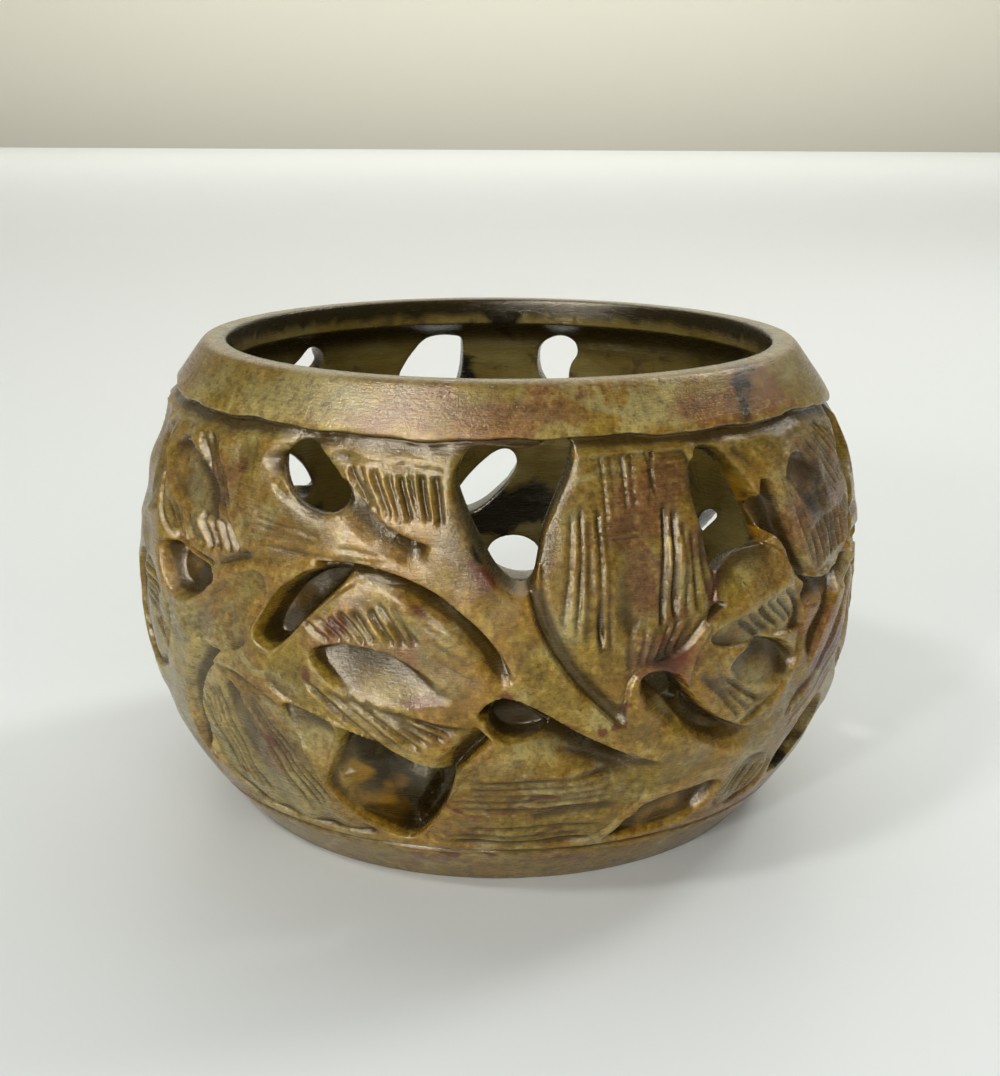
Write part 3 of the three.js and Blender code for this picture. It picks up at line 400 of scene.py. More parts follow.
def carve():
    zz = ZS[None, :]
    DEPTH[:] = 0.12 + 0.45 * step(zz, 46, 56)
    for turn, names, gaps in LENGTHS:
        for name in names:
            for kind, args in CARVING[name]:
                kind(turn, **args)
        for name in gaps:
            gap(turn, GAPS[name], *GAP_LEAN.get(name, (0, 0, 0)) if turn == 0 else (0, 0, 0))
    # hand-cut unevenness, as a few long waves
    phi = np.radians(np.arange(NPHI) * DPHI)[:, None]
    uneven = np.zeros((NPHI, NZ))
    for k in range(26):
        kp, kz = rng.integers(4, 46), rng.uniform(-0.9, 0.9)
        uneven += 0.045 * np.sin(kp * phi + kz * zz + rng.uniform(0, 6.28))
    carved = step(zz, 6.9, 8.0) * (1 - step(zz, 55.6, 56.6))
    DEPTH[:] = (DEPTH + uneven) * carved
    # the line above the foot, and the hand-cut groove under the band, both cut and given painted shade along them
    line = 6.45 + 0.07 * np.sin(5 * phi + 1) + 0.05 * np.sin(17 * phi)
    DEPTH[:] += 0.55 * np.clip(1 - abs(zz - line) / 0.36, 0, 1)
    PAINTED_LINE_SHADE[:] = np.maximum(PAINTED_LINE_SHADE, 1.3 * np.clip(1 - abs(zz - line) / 0.42, 0, 1))
    lip = 57.5 + 0.18 * np.sin(7 * phi) + 0.12 * np.sin(19 * phi + 2) + 0.07 * np.sin(41 * phi)
    lip = lip + 0.45 * np.exp(-((np.arange(NPHI) * DPHI - 280) / 16.0)[:, None] ** 2) \
        - 2.0 * np.exp(-((np.arange(NPHI) * DPHI - 84) / 20.0)[:, None] ** 2)
    below = lip - zz
    under = np.where(below >= 0, np.clip(1 - below / 2.4, 0, 1) ** 0.8, np.clip(1 + below / 0.45, 0, 1))
    PAINTED_LINE_SHADE[:] = np.maximum(PAINTED_LINE_SHADE, 1.0 * np.clip(1 - abs(below - 0.55) / 0.75, 0, 1))
    DEPTH[:] = np.maximum(DEPTH, 1.35 * under * (1 + 0.15 * np.sin(23 * phi)))
    DEPTH[:] = np.maximum(DEPTH, 0)


def smooth_max(a, b, k):
    d = a - b
    return 0.5 * (a + b + np.sqrt(d * d + k * k))


def solid_field():
    """Signed distance of the stone on the (azimuth, height, radius) grid."""
    rs = np.arange(26.0, 50.9, DR).astype(np.float32)
    z = ZS.astype(np.float32)
    turned = curve_1d(PROFILE, np.clip(ZS, 0, H)).astype(np.float32)
    outer = (turned[None, :] - DEPTH).astype(np.float32)
    gx = np.gradient(np.concatenate([outer[-2:], outer, outer[:2]]), DPHI * MM_PER_DEG, axis=0)[2:-2]
    gz = np.gradient(outer, DZ, axis=1)
    lean = 1 / np.sqrt(1 + np.minimum(gx * gx + gz * gz, 14.0))
    phi = np.radians(np.arange(NPHI) * DPHI)[:, None]
    inner = curve_1d(HOLLOW, ZS)[None, :] + 0.03 * np.sin(ZS * 2.6)[None, :] + 0.05 * np.sin(9 * phi + ZS[None, :] * 0.4) \
        + 0.04 * np.sin(23 * phi - ZS[None, :] * 0.7)
    inner = np.where(ZS[None, :] > 59.9, MOUTH_R, inner).astype(np.float32)
    R = rs[None, None, :]
    f = (R - outer[:, :, None]) * lean[:, :, None]
    hollow = smooth_max((R - inner[:, :, None]) * 0.93, (FLOOR_Z - z)[None, :, None], 1.2)
    f = smooth_max(f, -hollow, 0.35)
    del hollow
    t = np.clip((turned[None, :, None] - R) / 5.5, 0, 1.2).astype(np.float32)
    gap3 = GAP[:, :, None].astype(np.float32) * (1 - t) + GAP_IN[:, :, None].astype(np.float32) * t
    del t
    f = smooth_max(f, -gap3, 0.35)
    del gap3
    edge = 0.12 * np.sin(3 * phi + 0.5) * 0.3
    top = (z[None, :, None] - (H - 0.03) - 0 * edge[:, :, None]).astype(np.float32)
    f = smooth_max(f, top, 0.4)
    f = np.maximum(f, -z[None, :, None])
    return f.astype(np.float32), rs


def surface_nets(F):
    ni, nj, nk = F.shape
    S = F < 0
    S2 = np.concatenate([S, S[:1]], 0)
    some = np.zeros((ni, nj - 1, nk - 1), bool)
    every = np.ones((ni, nj - 1, nk - 1), bool)
    for a in (0, 1):
        for b in (0, 1):
            for c in (0, 1):
                v = S2[a:ni + a, b:nj - 1 + b, c:nk - 1 + c]
                some |= v
                every &= v
    act = some & ~every
    I, J, K = np.nonzero(act)
    idx = np.full(act.shape, -1, np.int32)
    idx[act] = np.arange(len(I), dtype=np.int32)
    corner = {}
    for a in (0, 1):
        for b in (0, 1):
            for c in (0, 1):
                corner[a, b, c] = F[(I + a) % ni, J + b, K + c]
    pos = np.zeros((len(I), 3))
    count = np.zeros(len(I))
    keys = list(corner)
    for p in keys:
        for ax in range(3):
            if p[ax] == 1:
                continue
            q = list(p); q[ax] = 1; q = tuple(q)
            fp, fq = corner[p], corner[q]
            m = (fp < 0) != (fq < 0)
            t = np.where(m, fp / np.where(m, fp - fq, 1), 0)
            at = np.array(p, float)[None, :] + np.eye(3)[ax][None, :] * t[:, None]
            pos += at * m[:, None]
            count += m
    pos = pos / count[:, None] + np.stack([I, J, K], 1)
    quads = []

    def add(mask, cells, first):
        i, j, k = np.nonzero(mask)
        vs = [idx[(i + o[0]) % ni, j + o[1], k + o[2]] for o in cells]
        q = np.stack(vs, 1)
        flip = first[i, j, k]
        q[flip] = q[flip][:, ::-1]
        quads.append(q)

    Sn = np.roll(S, -1, 0)
    m = S != Sn
    m[:, 0, :] = m[:, -1, :] = False
    m[:, :, 0] = m[:, :, -1] = False
    add(m, [(0, -1, -1), (0, 0, -1), (0, 0, 0), (0, -1, 0)], ~S)
    m = np.zeros_like(S)
    m[:, :-1, 1:-1] = S[:, :-1, 1:-1] != S[:, 1:, 1:-1]
    add(m, [(-1, 0, -1), (0, 0, -1), (0, 0, 0), (-1, 0, 0)], S)
    m = np.zeros_like(S)
    m[:, 1:-1, :-1] = S[:, 1:-1, :-1] != S[:, 1:-1, 1:]
    add(m, [(-1, -1, 0), (0, -1, 0), (0, 0, 0), (-1, 0, 0)], ~S)
    quads = np.concatenate(quads)
    ring = [np.where((K == 0) & (pos[:, 1] < 16))[0], np.where((K == 0) & (pos[:, 1] >= 16))[0]]
    return pos, quads, [r[np.argsort(I[r])] for r in ring]


def stone_mesh():
    F, rs = solid_field()
    pos, quads, rings = surface_nets(F)
    del F
    phi = np.radians(pos[:, 0] * DPHI)
    z = ZS[0] + pos[:, 1] * DZ
    r = rs[0] + pos[:, 2] * DR
    co = np.stack([r * np.sin(phi), -r * np.cos(phi), z], 1)
    n = len(co)
    co = np.vstack([co, [[0, 0, co[rings[0], 2].mean()], [0, 0, co[rings[1], 2].mean()]]])
    tris = []
    for which, ring in enumerate(rings):
        nxt = np.roll(ring, -1)
        c = np.full(len(ring), n + which)
        tris.append(np.stack([ring, nxt, c] if which == 1 else [nxt, ring, c], 1))
    tris = np.concatenate(tris)
    # split the quads, and turn everything outwards
    t = np.concatenate([quads[:, [0, 1, 2]], quads[:, [0, 2, 3]]])
    a, b, c = co[t[:, 0]], co[t[:, 1]], co[t[:, 2]]
    volume = np.einsum("ij,ij->i", a, np.cross(b, c)).sum() / 6
    if volume < 0:
        quads = quads[:, ::-1]
    me = bpy.data.meshes.new("carved_stone")
    nq, nt = len(quads), len(tris)
    me.vertices.add(len(co))
    me.vertices.foreach_set("co", (co * 0.001).astype(np.float32).ravel())
    me.loops.add(nq * 4 + nt * 3)
    me.loops.foreach_set("vertex_index", np.concatenate([quads.ravel(), tris.ravel()]).astype(np.int32))
    me.polygons.add(nq + nt)
    me.polygons.foreach_set("loop_start", np.concatenate([np.arange(nq) * 4, nq * 4 + np.arange(nt) * 3]).astype(np.int32))
    me.update(calc_edges=True)
    me.validate()
    return me


def decimated(me, limit):
    ob = bpy.data.objects.new("carved_stone", me)
    bpy.context.scene.collection.objects.link(ob)
    me.calc_loop_triangles()
    have = len(me.loop_triangles)
    mod = ob.modifiers.new("fewer", "DECIMATE")
    mod.ratio = min(1.0, limit / have)
    dg = bpy.context.evaluated_depsgraph_get()
    out = bpy.data.meshes.new_from_object(ob.evaluated_get(dg))
    ob.modifiers.clear()
    old = ob.data
    ob.data = out
    bpy.data.meshes.remove(old)
    out.name = "carved_stone"
    import bmesh
    bm = bmesh.new(); bm.from_mesh(out)
    bmesh.ops.recalc_face_normals(bm, faces=bm.faces)
    print("stone faces", len(bm.faces), "open edges", sum(1 for e in bm.edges if not e.is_manifold), "volume cm3", bm.calc_volume() * 1e6)
    bm.to_mesh(out); bm.free()
    out.shade_smooth()
    return ob


def sample(field, phi, z):
    """A grid's value at places on the surface."""
    x = (np.degrees(phi) % 360) / DPHI
    y = np.clip((z - ZS[0]) / DZ, 0, NZ - 1.001)
    i, j = np.floor(x).astype(int), np.floor(y).astype(int)
    u, v = x - i, y - j
    i0, i1 = i % NPHI, (i + 1) % NPHI
    return (field[i0, j] * (1 - u) * (1 - v) + field[i1, j] * u * (1 - v)
            + field[i0, j + 1] * (1 - u) * v + field[i1, j + 1] * u * v)


def blurred(field, n):
    out = field.copy()
    for _ in range(3):
        acc = np.zeros_like(out)
        for s in range(-n, n + 1):
            acc += np.roll(out, s, 0)
        out = acc / (2 * n + 1)
        pad = np.pad(out, ((0, 0), (n, n)), mode="edge")
        out = sum(pad[:, n + s:n + s + out.shape[1]] for s in range(-n, n + 1)) / (2 * n + 1)
    return out


# Where the stone's colour changes, and where small pale glints are painted: (azimuth, height, half width, half height,
# lean, strength). Fine detail comes from the material's own noise.
TINTS = {
    "mauve": [(12, 4.4, 9, 2.0, 0, 0.7), (-14, 3.4, 6, 1.6, 0, 0.6), (50, 60, 8, 3, 0, 0.9), (33, 59.6, 4, 2.6, 0, 0.8), (-22, 34, 6, 2, 0, 0.6), (63, 47, 7, 8, 0, 0.6), (-12, 60.5, 10, 2.6, 0, 0.9), (2, 60, 12, 3, 0, 0.9), (40, 60.5, 9, 3, 20, 0.8), (21, 51, 6, 5, 0, 1.0), (23, 33, 5, 4.5, 0, 1.0),
              (19, 43, 3.4, 6, 0, 0.7), (-22, 37.5, 6, 3, 20, 0.6), (-44, 51, 7, 5, 0, 0.5), (-35, 17, 5, 5, 0, 0.4), (55, 30, 9, 7, 30, 0.7),
              (45, 7, 18, 5, 0, 0.6), (-15, 33.4, 9, 2.4, -15, 0.5), (52, 47, 8, 9, 0, 0.5), (-58, 51, 4, 4, 0, 0.4),
              (150, 50, 14, 6, 0, 0.8), (-150, 20, 12, 6, 10, 0.8), (100, 60, 14, 3, 0, 0.7), (-100, 44, 9, 7, 0, 0.6), (130, 18, 10, 6, 0, 0.6), (-70, 60, 10, 3, 0, 0.5)],
    "dark": [(44, 61, 2.6, 3.6, -38, 0.62), (33, 59.6, 1.6, 2.4, -30, 0.5), (-178, 26.6, 15, 3.0, -6, 1.6), (-165, 39, 7, 3.6, 25, 1.2), (176, 45, 4, 3, 20, 1.1),
             (-172, 50, 4, 2.6, 0, 0.8), (58, 14, 6, 4, 30, 0.8), (56, 47, 5, 6, 0, 0.5), (160, 33, 3, 2.4, 0, 1.0), (-140, 27, 6, 3, -10, 1.0), (178, 61.5, 8, 2, 0, 0.9),
             (23, 33, 3, 3, 0, 0.35), (6, 57, 2.2, 0.9, 0, 0.8), (-1, 46.6, 2.4, 1.0, -40, 0.5)],
    "warm": [(-23.0, 14.6, 2.6, 6.4, 12, 1.7), (29, 10.6, 8, 3.4, 0, 1.3), (-56, 38.6, 4.4, 3.4, 0, 1.4), (42.6, 48, 3.0, 3.6, 0, 1.2), (-30, 37, 2.2, 5, -45, 0.9), (2, 38, 6, 6, 0, 1.0), (-1, 33, 6, 5, 0, 0.7), (9, 41.4, 7, 2.4, -12, 1.0), (12, 46, 5, 6, 0, 0.6), (-18, 54.6, 10, 1.6, 0, 0.8), (-36, 51.6, 5, 4.6, 0, 0.8),
             (38, 39.6, 7, 2.6, 30, 0.9), (36, 52, 5, 5, -50, 0.8), (-18, 12, 5, 4.6, 0, 1.0), (30, 10.6, 8, 3.4, 0, 1.0), (-33, 36.6, 3, 4, 0, 0.9), (27, 34.6, 5, 2.4, 0, 0.7),
             (-76, 50, 8, 7, 0, 0.7), (-54, 38, 6, 3, 0, 0.8), (33, 21.4, 5, 1.6, 0, 0.8), (-14, 57, 20, 1.0, 0, 0.8), (18, 28, 4, 2, 0, 0.5), (-6, 59, 5, 2, 0, 0.5),
             (110, 36, 9, 8, 0, 0.8), (-110, 18, 9, 7, 0, 0.8), (170, 40, 10, 6, 0, 0.7), (145, 28, 8, 5, 0, 0.6)],
    "green": [(-46, 20, 9, 11, 0, 0.9), (-36, 11, 13, 5, 0, 0.9), (-62, 24, 9, 10, 0, 0.8), (-48, 31, 8, 4, 0, 0.7), (-26, 22, 4, 4, 0, 0.8), (-33, 60.6, 14, 3.2, 0, 1.0), (-56, 60, 9, 3, 0, 0.6), (24, 60.6, 6, 2.2, 0, 0.8), (9, 37, 3.6, 5, 0, 0.8), (19.5, 44, 2.6, 4, 0, 0.6), (14, 26.6, 4, 2, 0, 0.8),
              (-4, 37.6, 4, 2, -35, 0.7), (44, 36, 6, 4, 25, 0.7), (38, 28, 6, 3, 0, 0.6), (-50, 48.4, 3.6, 3, 0, 0.8), (-39, 20, 3, 5, 0, 0.7), (12, 15.6, 9, 3, 0, 0.5),
              (-14, 16, 6, 5, 0, 0.8), (-58, 30, 10, 6, 0, 0.5), (40, 17.6, 9, 3, 10, 0.5), (6, 22, 8, 2, 0, 0.6), (35, 48, 4, 4, 0, 0.7), (-47, 30, 6, 5, -30, 0.6), (-20, 52, 8, 2.4, 0, 0.4)],
    "grey": [(-36, 20, 6, 6, 0, 1.0), (20, 42, 4, 5, 0, 0.9), (-47, 50, 8, 4, 0, 0.7), (53, 47, 9, 9, 0, 1.0), (-15, 33, 10, 2.6, -15, 0.7), (-36, 19, 3.6, 5, 20, 0.7), (19, 45, 3, 6, 0, 0.6), (20.4, 33, 3, 3.4, 0, 0.8),
             (-4, 48, 3.6, 5, 30, 0.9), (-27, 48.6, 6, 1.4, -12, 0.8), (46, 12, 7, 3, 0, 0.5)],
    "red": [(-9.6, 5.6, 0.9, 0.5, 0, 1.1), (11, 3.6, 1.6, 0.4, 0, 0.9), (-22, 2.6, 1.2, 0.3, 0, 0.7), (57, 27, 5, 1.2, 33, 1.3), (52, 23.6, 1.8, 0.8, 30, 1.0), (-21, 38, 2, 0.8, -30, 1.0), (-12, 38.6, 1.4, 0.7, -20, 0.8), (-11, 27.6, 2.6, 0.5, 0, 1.0), (-27, 30.5, 0.9, 0.7, 0, 0.8),
            (-36.5, 18.6, 1.4, 0.9, 0, 1.2), (-39, 20.4, 1.6, 0.6, 0, 0.9), (-42, 14, 1.6, 0.4, 40, 1.0), (13.4, 24.8, 5, 0.35, 10, 1.1), (17.6, 27.6, 0.4, 2.4, 0, 1.1), (-2.6, 44.6, 1.5, 1.6, -40, 1.2),
            (0.4, 30.6, 1.0, 0.4, 0, 1.0), (-5.4, 13.8, 5, 0.4, 0, 0.9), (6, 14.6, 4, 0.4, 5, 1.0), (8, 8.6, 5, 0.4, 0, 0.7), (-42, 53.6, 1.2, 1, 0, 0.7), (24, 33.6, 2.4, 3.6, 0, 0.8), (-1, 7.8, 2.6, 0.3, 0, 0.8),
            (30, 40, 1.4, 5, 10, 0.8), (34, 27.6, 2.4, 1.4, 30, 0.4), (-16, 60, 5, 1.4, 0, 0.5), (-39, 62, 1.4, 0.8, 0, 0.6)],
    # chip_and_glint: painted highlight, small pale spots for glints on the rim and the leaves, drawn as chips
    "chip_and_glint": [(-16, 63.5, 0.8, 0.5, 0, 1.2), (-10.5, 63, 0.5, 0.4, 0, 1.2), (-13, 62.6, 0.6, 0.4, 0, 1.2), (-25, 18.4, 0.7, 0.7, 0, 1.0), (2.6, 18.8, 1.2, 1.6, 20, 0.5), (-9, 13, 0.6, 0.8, 0, 0.8)],
}


def tint(name, phi_deg, z):
    out = np.zeros(len(z))
    # two slow waves bend the borders, so no patch is a plain oval
    a = phi_deg + 1.5 * np.sin(z * 0.55 + 1) + 0.9 * np.sin(z * 1.3 + phi_deg * 0.21)
    h = z + 1.2 * np.sin(phi_deg * 0.31 + 2) + 0.6 * np.sin(phi_deg * 0.83 + z * 0.4)
    for p0, z0, w, t, lean, k in TINTS[name]:
        dx = ((a - p0 + 180) % 360 - 180) * MM_PER_DEG
        dz = h - z0
        c, s = math.cos(math.radians(lean)), math.sin(math.radians(lean))
        u, v = (dx * c + dz * s) / (w * MM_PER_DEG), (-dx * s + dz * c) / t
        out = np.maximum(out, k * np.exp(-(u * u + v * v) * 0.9))
    return out


def paint(ob):
    """Masks for the material, from the carving itself and from TINTS."""
    me = ob.data
    co = np.empty(len(me.vertices) * 3, np.float32)
    me.vertices.foreach_get("co", co)
    co = co.reshape(-1, 3) * 1000
    x, y, z = co.T
    r = np.hypot(x, y)
    phi = np.arctan2(x, -y)
    deg = np.degrees(phi)
    turned = curve_1d(PROFILE, np.clip(z, 0, H))
    below = turned - r                                   # depth under the turned face
    surf = sample(DEPTH, phi, z)
    hollow_r = curve_1d(HOLLOW, z)
    inner = step(hollow_r + 1.2 - r, 0.0, 1.0) * (z > 6) * (z < H - 0.5)
    cavity = np.clip((sample(DEPTH - blurred(DEPTH, 6), phi, z)) / 0.9, -1, 1)
    cavity = np.where(inner > 0.5, 0, cavity)
    deep = np.clip((np.maximum(below, surf) - 1.0) / 3.4, 0, 1) * (1 - inner)
    line = sample(PAINTED_LINE_SHADE, phi, z) * (1 - inner)

    def store(name, cols):
        at = me.color_attributes.new(name, "FLOAT_COLOR", "POINT")
        at.data.foreach_set("color", np.stack(cols, 1).astype(np.float32).ravel())

    store("relief", [np.clip(cavity * 0.5 + 0.5, 0, 1), deep, inner, line])
    store("tint_a", [tint(k, deg, z) for k in ("mauve", "dark", "warm", "green")])
    store("tint_b", [tint(k, deg, z) for k in ("grey", "red", "chip_and_glint")] + [np.ones(len(z))])


# -------------------------------------------------------------- the material
class Nodes:
    def __init__(self, name):
        self.mat = bpy.data.materials.new(name)
        self.mat.use_nodes = True
        self.nt = self.mat.node_tree
        self.nt.nodes.clear()

    def node(self, kind, **props):
        n = self.nt.nodes.new(kind)
        for k, v in props.items():
            setattr(n, k, v)
        return n

    def put(self, sock, v):
        if isinstance(v, bpy.types.NodeSocket):
            self.nt.links.new(v, sock)
        else:
            sock.default_value = v

    def noise(self, vec, scale, detail=4, rough=0.55, distort=0.0):
        n = self.node("ShaderNodeTexNoise")
        self.put(n.inputs["Vector"], vec)
        n.inputs["Scale"].default_value = scale
        n.inputs["Detail"].default_value = detail
        n.inputs["Roughness"].default_value = rough
        n.inputs["Distortion"].default_value = distort
        return n.outputs["Fac"]

    def math(self, op, a, b=None, c=None, clamp=False):
        n = self.node("ShaderNodeMath", operation=op, use_clamp=clamp)
        for s, v in zip(n.inputs, (a, b, c)):
            if v is not None:
                self.put(s, v)
        return n.outputs[0]

    def remap(self, v, a, b, lo=0.0, hi=1.0):
        n = self.node("ShaderNodeMapRange", interpolation_type="SMOOTHSTEP")
        self.put(n.inputs[0], v)
        for k, w in zip(("From Min", "From Max", "To Min", "To Max"), (a, b, lo, hi)):
            n.inputs[k].default_value = w
        return n.outputs[0]

    def mix(self, fac, a, b, blend="MIX"):
        n = self.node("ShaderNodeMix", data_type="RGBA", blend_type=blend, clamp_factor=True)
        self.put(n.inputs[0], fac)
        for s, v in ((n.inputs[6], a), (n.inputs[7], b)):
            self.put(s, v if isinstance(v, bpy.types.NodeSocket) else (*v, 1.0))
        return n.outputs[2]

    def split(self, attr):
        a = self.node("ShaderNodeAttribute", attribute_name=attr)
        s = self.node("ShaderNodeSeparateColor")
        self.nt.links.new(a.outputs["Color"], s.inputs[0])
        return s.outputs[0], s.outputs[1], s.outputs[2], a.outputs["Alpha"]


def soapstone():
    m = Nodes("soapstone")
    tc = m.node("ShaderNodeTexCoord")
    mp = m.node("ShaderNodeMapping")
    mp.inputs["Scale"].default_value = (1000, 1000, 1000)
    m.put(mp.inputs["Vector"], tc.outputs["Object"])
    mm = mp.outputs[0]
    # slow bends, so that the bands of colour wander
    bend = m.node("ShaderNodeTexNoise")
    m.put(bend.inputs["Vector"], mm)
    bend.inputs["Scale"].default_value = 0.045
    bend.inputs["Detail"].default_value = 3
    off = m.node("ShaderNodeVectorMath", operation="MULTIPLY_ADD")
    m.put(off.inputs[0], bend.outputs["Color"])
    off.inputs[1].default_value = (22, 22, 22)
    m.put(off.inputs[2], mm)
    wv = off.outputs[0]
    cav, deep, inner, line = m.split("relief")
    mauve, dark, warm, green = m.split("tint_a")
    grey, red, chip_and_glint, _ = m.split("tint_b")
    n_big = m.noise(wv, 0.07, 5, 0.55)
    n_mid = m.noise(wv, 0.22, 6, 0.6, 0.6)
    n_sml = m.noise(mm, 0.8, 6, 0.62, 0.3)
    n_fin = m.noise(mm, 3.2, 5, 0.65)
    n_patch = m.noise(wv, 0.13, 5, 0.6, 0.8)

    OLIVE, SAGE, OCHRE = (0.150, 0.104, 0.012), (0.242, 0.206, 0.080), (0.164, 0.088, 0.010)
    BROWN, MAUVE, GREY = (0.086, 0.038, 0.004), (0.138, 0.056, 0.020), (0.100, 0.074, 0.036)
    BLACK, RED, AMBER_GLOW, CHIP_AND_GLINT = (0.008, 0.007, 0.005), (0.066, 0.010, 0.005), (0.200, 0.100, 0.004), (0.60, 0.55, 0.44)

    col = m.mix(m.remap(n_big, 0.38, 0.62), OLIVE, OCHRE)
    col = m.mix(m.math("MULTIPLY", m.remap(n_patch, 0.50, 0.66), 0.8), col, SAGE)
    col = m.mix(m.math("MULTIPLY", m.remap(n_mid, 0.56, 0.72), 0.65), col, BROWN)
    # stated patches, each broken up by noise
    def broken(mask, noise, k=0.9, gain=1.6):
        t = m.math("MULTIPLY_ADD", mask, gain, m.math("MULTIPLY_ADD", noise, 1.7, -1.25 + 0.15))
        return m.math("MULTIPLY", m.remap(t, 0.05, 0.75), k)
    col = m.mix(broken(green, n_mid, 0.75), col, SAGE)
    col = m.mix(broken(warm, n_mid, 0.62), col, OCHRE)
    col = m.mix(broken(grey, n_sml, 0.7), col, GREY)
    col = m.mix(broken(mauve, n_mid, 0.8), col, MAUVE)
    # light and dark grain
    col = m.mix(m.remap(n_sml, 0.50, 0.74, 0.0, 0.50), col, (0.34, 0.25, 0.06))
    col = m.mix(m.remap(n_sml, 0.52, 0.32, 0.0, 0.55), col, (0.050, 0.028, 0.005))
    col = m.mix(m.remap(n_fin, 0.58, 0.70, 0.0, 0.36), col, (0.38, 0.29, 0.09))
    n_grit = m.noise(mm, 1.5, 5, 0.7)
    col = m.mix(m.remap(n_grit, 0.50, 0.36, 0.0, 0.75), col, m.mix(1.0, col, (0.56, 0.44, 0.32), "MULTIPLY"))
    col = m.mix(m.remap(n_grit, 0.52, 0.68, 0.0, 0.40), col, m.mix(1.0, col, (1.6, 1.5, 1.3), "MULTIPLY"))
    # fine dark-red veins and specks
    v1 = m.math("ABSOLUTE", m.math("SUBTRACT", m.noise(wv, 0.10, 6, 0.6, 1.0), 0.5))
    gate = m.remap(m.noise(mm, 0.12, 2, 0.5), 0.55, 0.68)
    vein = m.math("MULTIPLY", m.remap(v1, 0.007, 0.0), gate)
    col = m.mix(m.math("MULTIPLY", vein, 0.7), col, (0.075, 0.030, 0.020))
    speck = m.math("MULTIPLY", m.remap(m.noise(mm, 0.62, 3, 0.5), 0.715, 0.765), 0.85)
    col = m.mix(speck, col, (0.050, 0.026, 0.020))
    speck = m.math("MULTIPLY", m.remap(m.noise(wv, 1.7, 2, 0.5), 0.72, 0.78), 0.8)
    col = m.mix(speck, col, (0.030, 0.022, 0.014))
    col = m.mix(broken(red, n_sml, 0.85, 1.7), col, RED)
    col = m.mix(broken(dark, n_mid, 0.97, 1.7), col, BLACK)
    # painted shade: deep cuts are darkened to brown, with a painted amber glow where the warm patches reach them;
    # hollows get painted shade, rims a painted highlight, the knife's lines painted shade
    deep_shade_and_glow = m.mix(m.remap(m.math("MULTIPLY_ADD", n_mid, 0.5, warm), 0.72, 1.15), (0.012, 0.009, 0.002), AMBER_GLOW)
    col = m.mix(m.remap(deep, 0.0, 0.80, 0.0, 0.97), col, deep_shade_and_glow)
    # painted shade: hollows in the relief are darkened
    painted_hollow_shade = m.remap(cav, 0.51, 0.70, 0.0, 0.88)
    col = m.mix(painted_hollow_shade, col, m.mix(0.55, col, (0.30, 0.22, 0.12), "MULTIPLY"), )
    col = m.mix(m.math("MULTIPLY", painted_hollow_shade, 0.80), col, (0.036, 0.021, 0.004))
    # painted highlight: convex rims and edges are made lighter
    painted_rim_light = m.remap(cav, 0.48, 0.32, 0.0, 0.55)
    col = m.mix(painted_rim_light, col, m.mix(1.0, col, (1.6, 1.5, 1.3), "MULTIPLY"))
    # painted shade along the knife's lines and grooves
    col = m.mix(m.math("MULTIPLY", line, 0.68), col, (0.034, 0.018, 0.003))
    # inside: plainer, with soot-grey and dark blotches; painted shade darkens it towards the floor and under the lip
    ins = m.mix(m.remap(n_big, 0.40, 0.62), (0.128, 0.090, 0.018), (0.175, 0.138, 0.042))
    ins = m.mix(m.math("MULTIPLY", m.remap(n_mid, 0.55, 0.66), 0.75), ins, (0.060, 0.038, 0.018))
    ins = m.mix(broken(dark, n_mid, 0.98, 1.7), ins, BLACK)
    ins = m.mix(m.math("MULTIPLY", speck, 0.8), ins, (0.02, 0.016, 0.012))
    xyz = m.node("ShaderNodeSeparateXYZ")
    m.put(xyz.inputs[0], mm)
    # painted shade: the inside darkens towards the floor
    ins = m.mix(m.remap(xyz.outputs[2], 30.0, 12.0, 0.0, 0.75), ins, (0.010, 0.007, 0.002))
    # painted shade under the lip's overhang
    painted_shade_under_lip = m.remap(xyz.outputs[2], 53.5, 57.5, 0.0, 0.90)
    painted_shade_under_lip = m.math("MULTIPLY", painted_shade_under_lip, m.remap(xyz.outputs[2], 60.0, 59.4))
    ins = m.mix(painted_shade_under_lip, ins, (0.010, 0.006, 0.001))
    col = m.mix(m.math("MULTIPLY", inner, 0.96), col, ins)
    # painted highlight: pale spots laid on for glints, drawn as chips
    col = m.mix(m.math("MULTIPLY", m.remap(chip_and_glint, 0.3, 0.7), 0.9), col, CHIP_AND_GLINT)

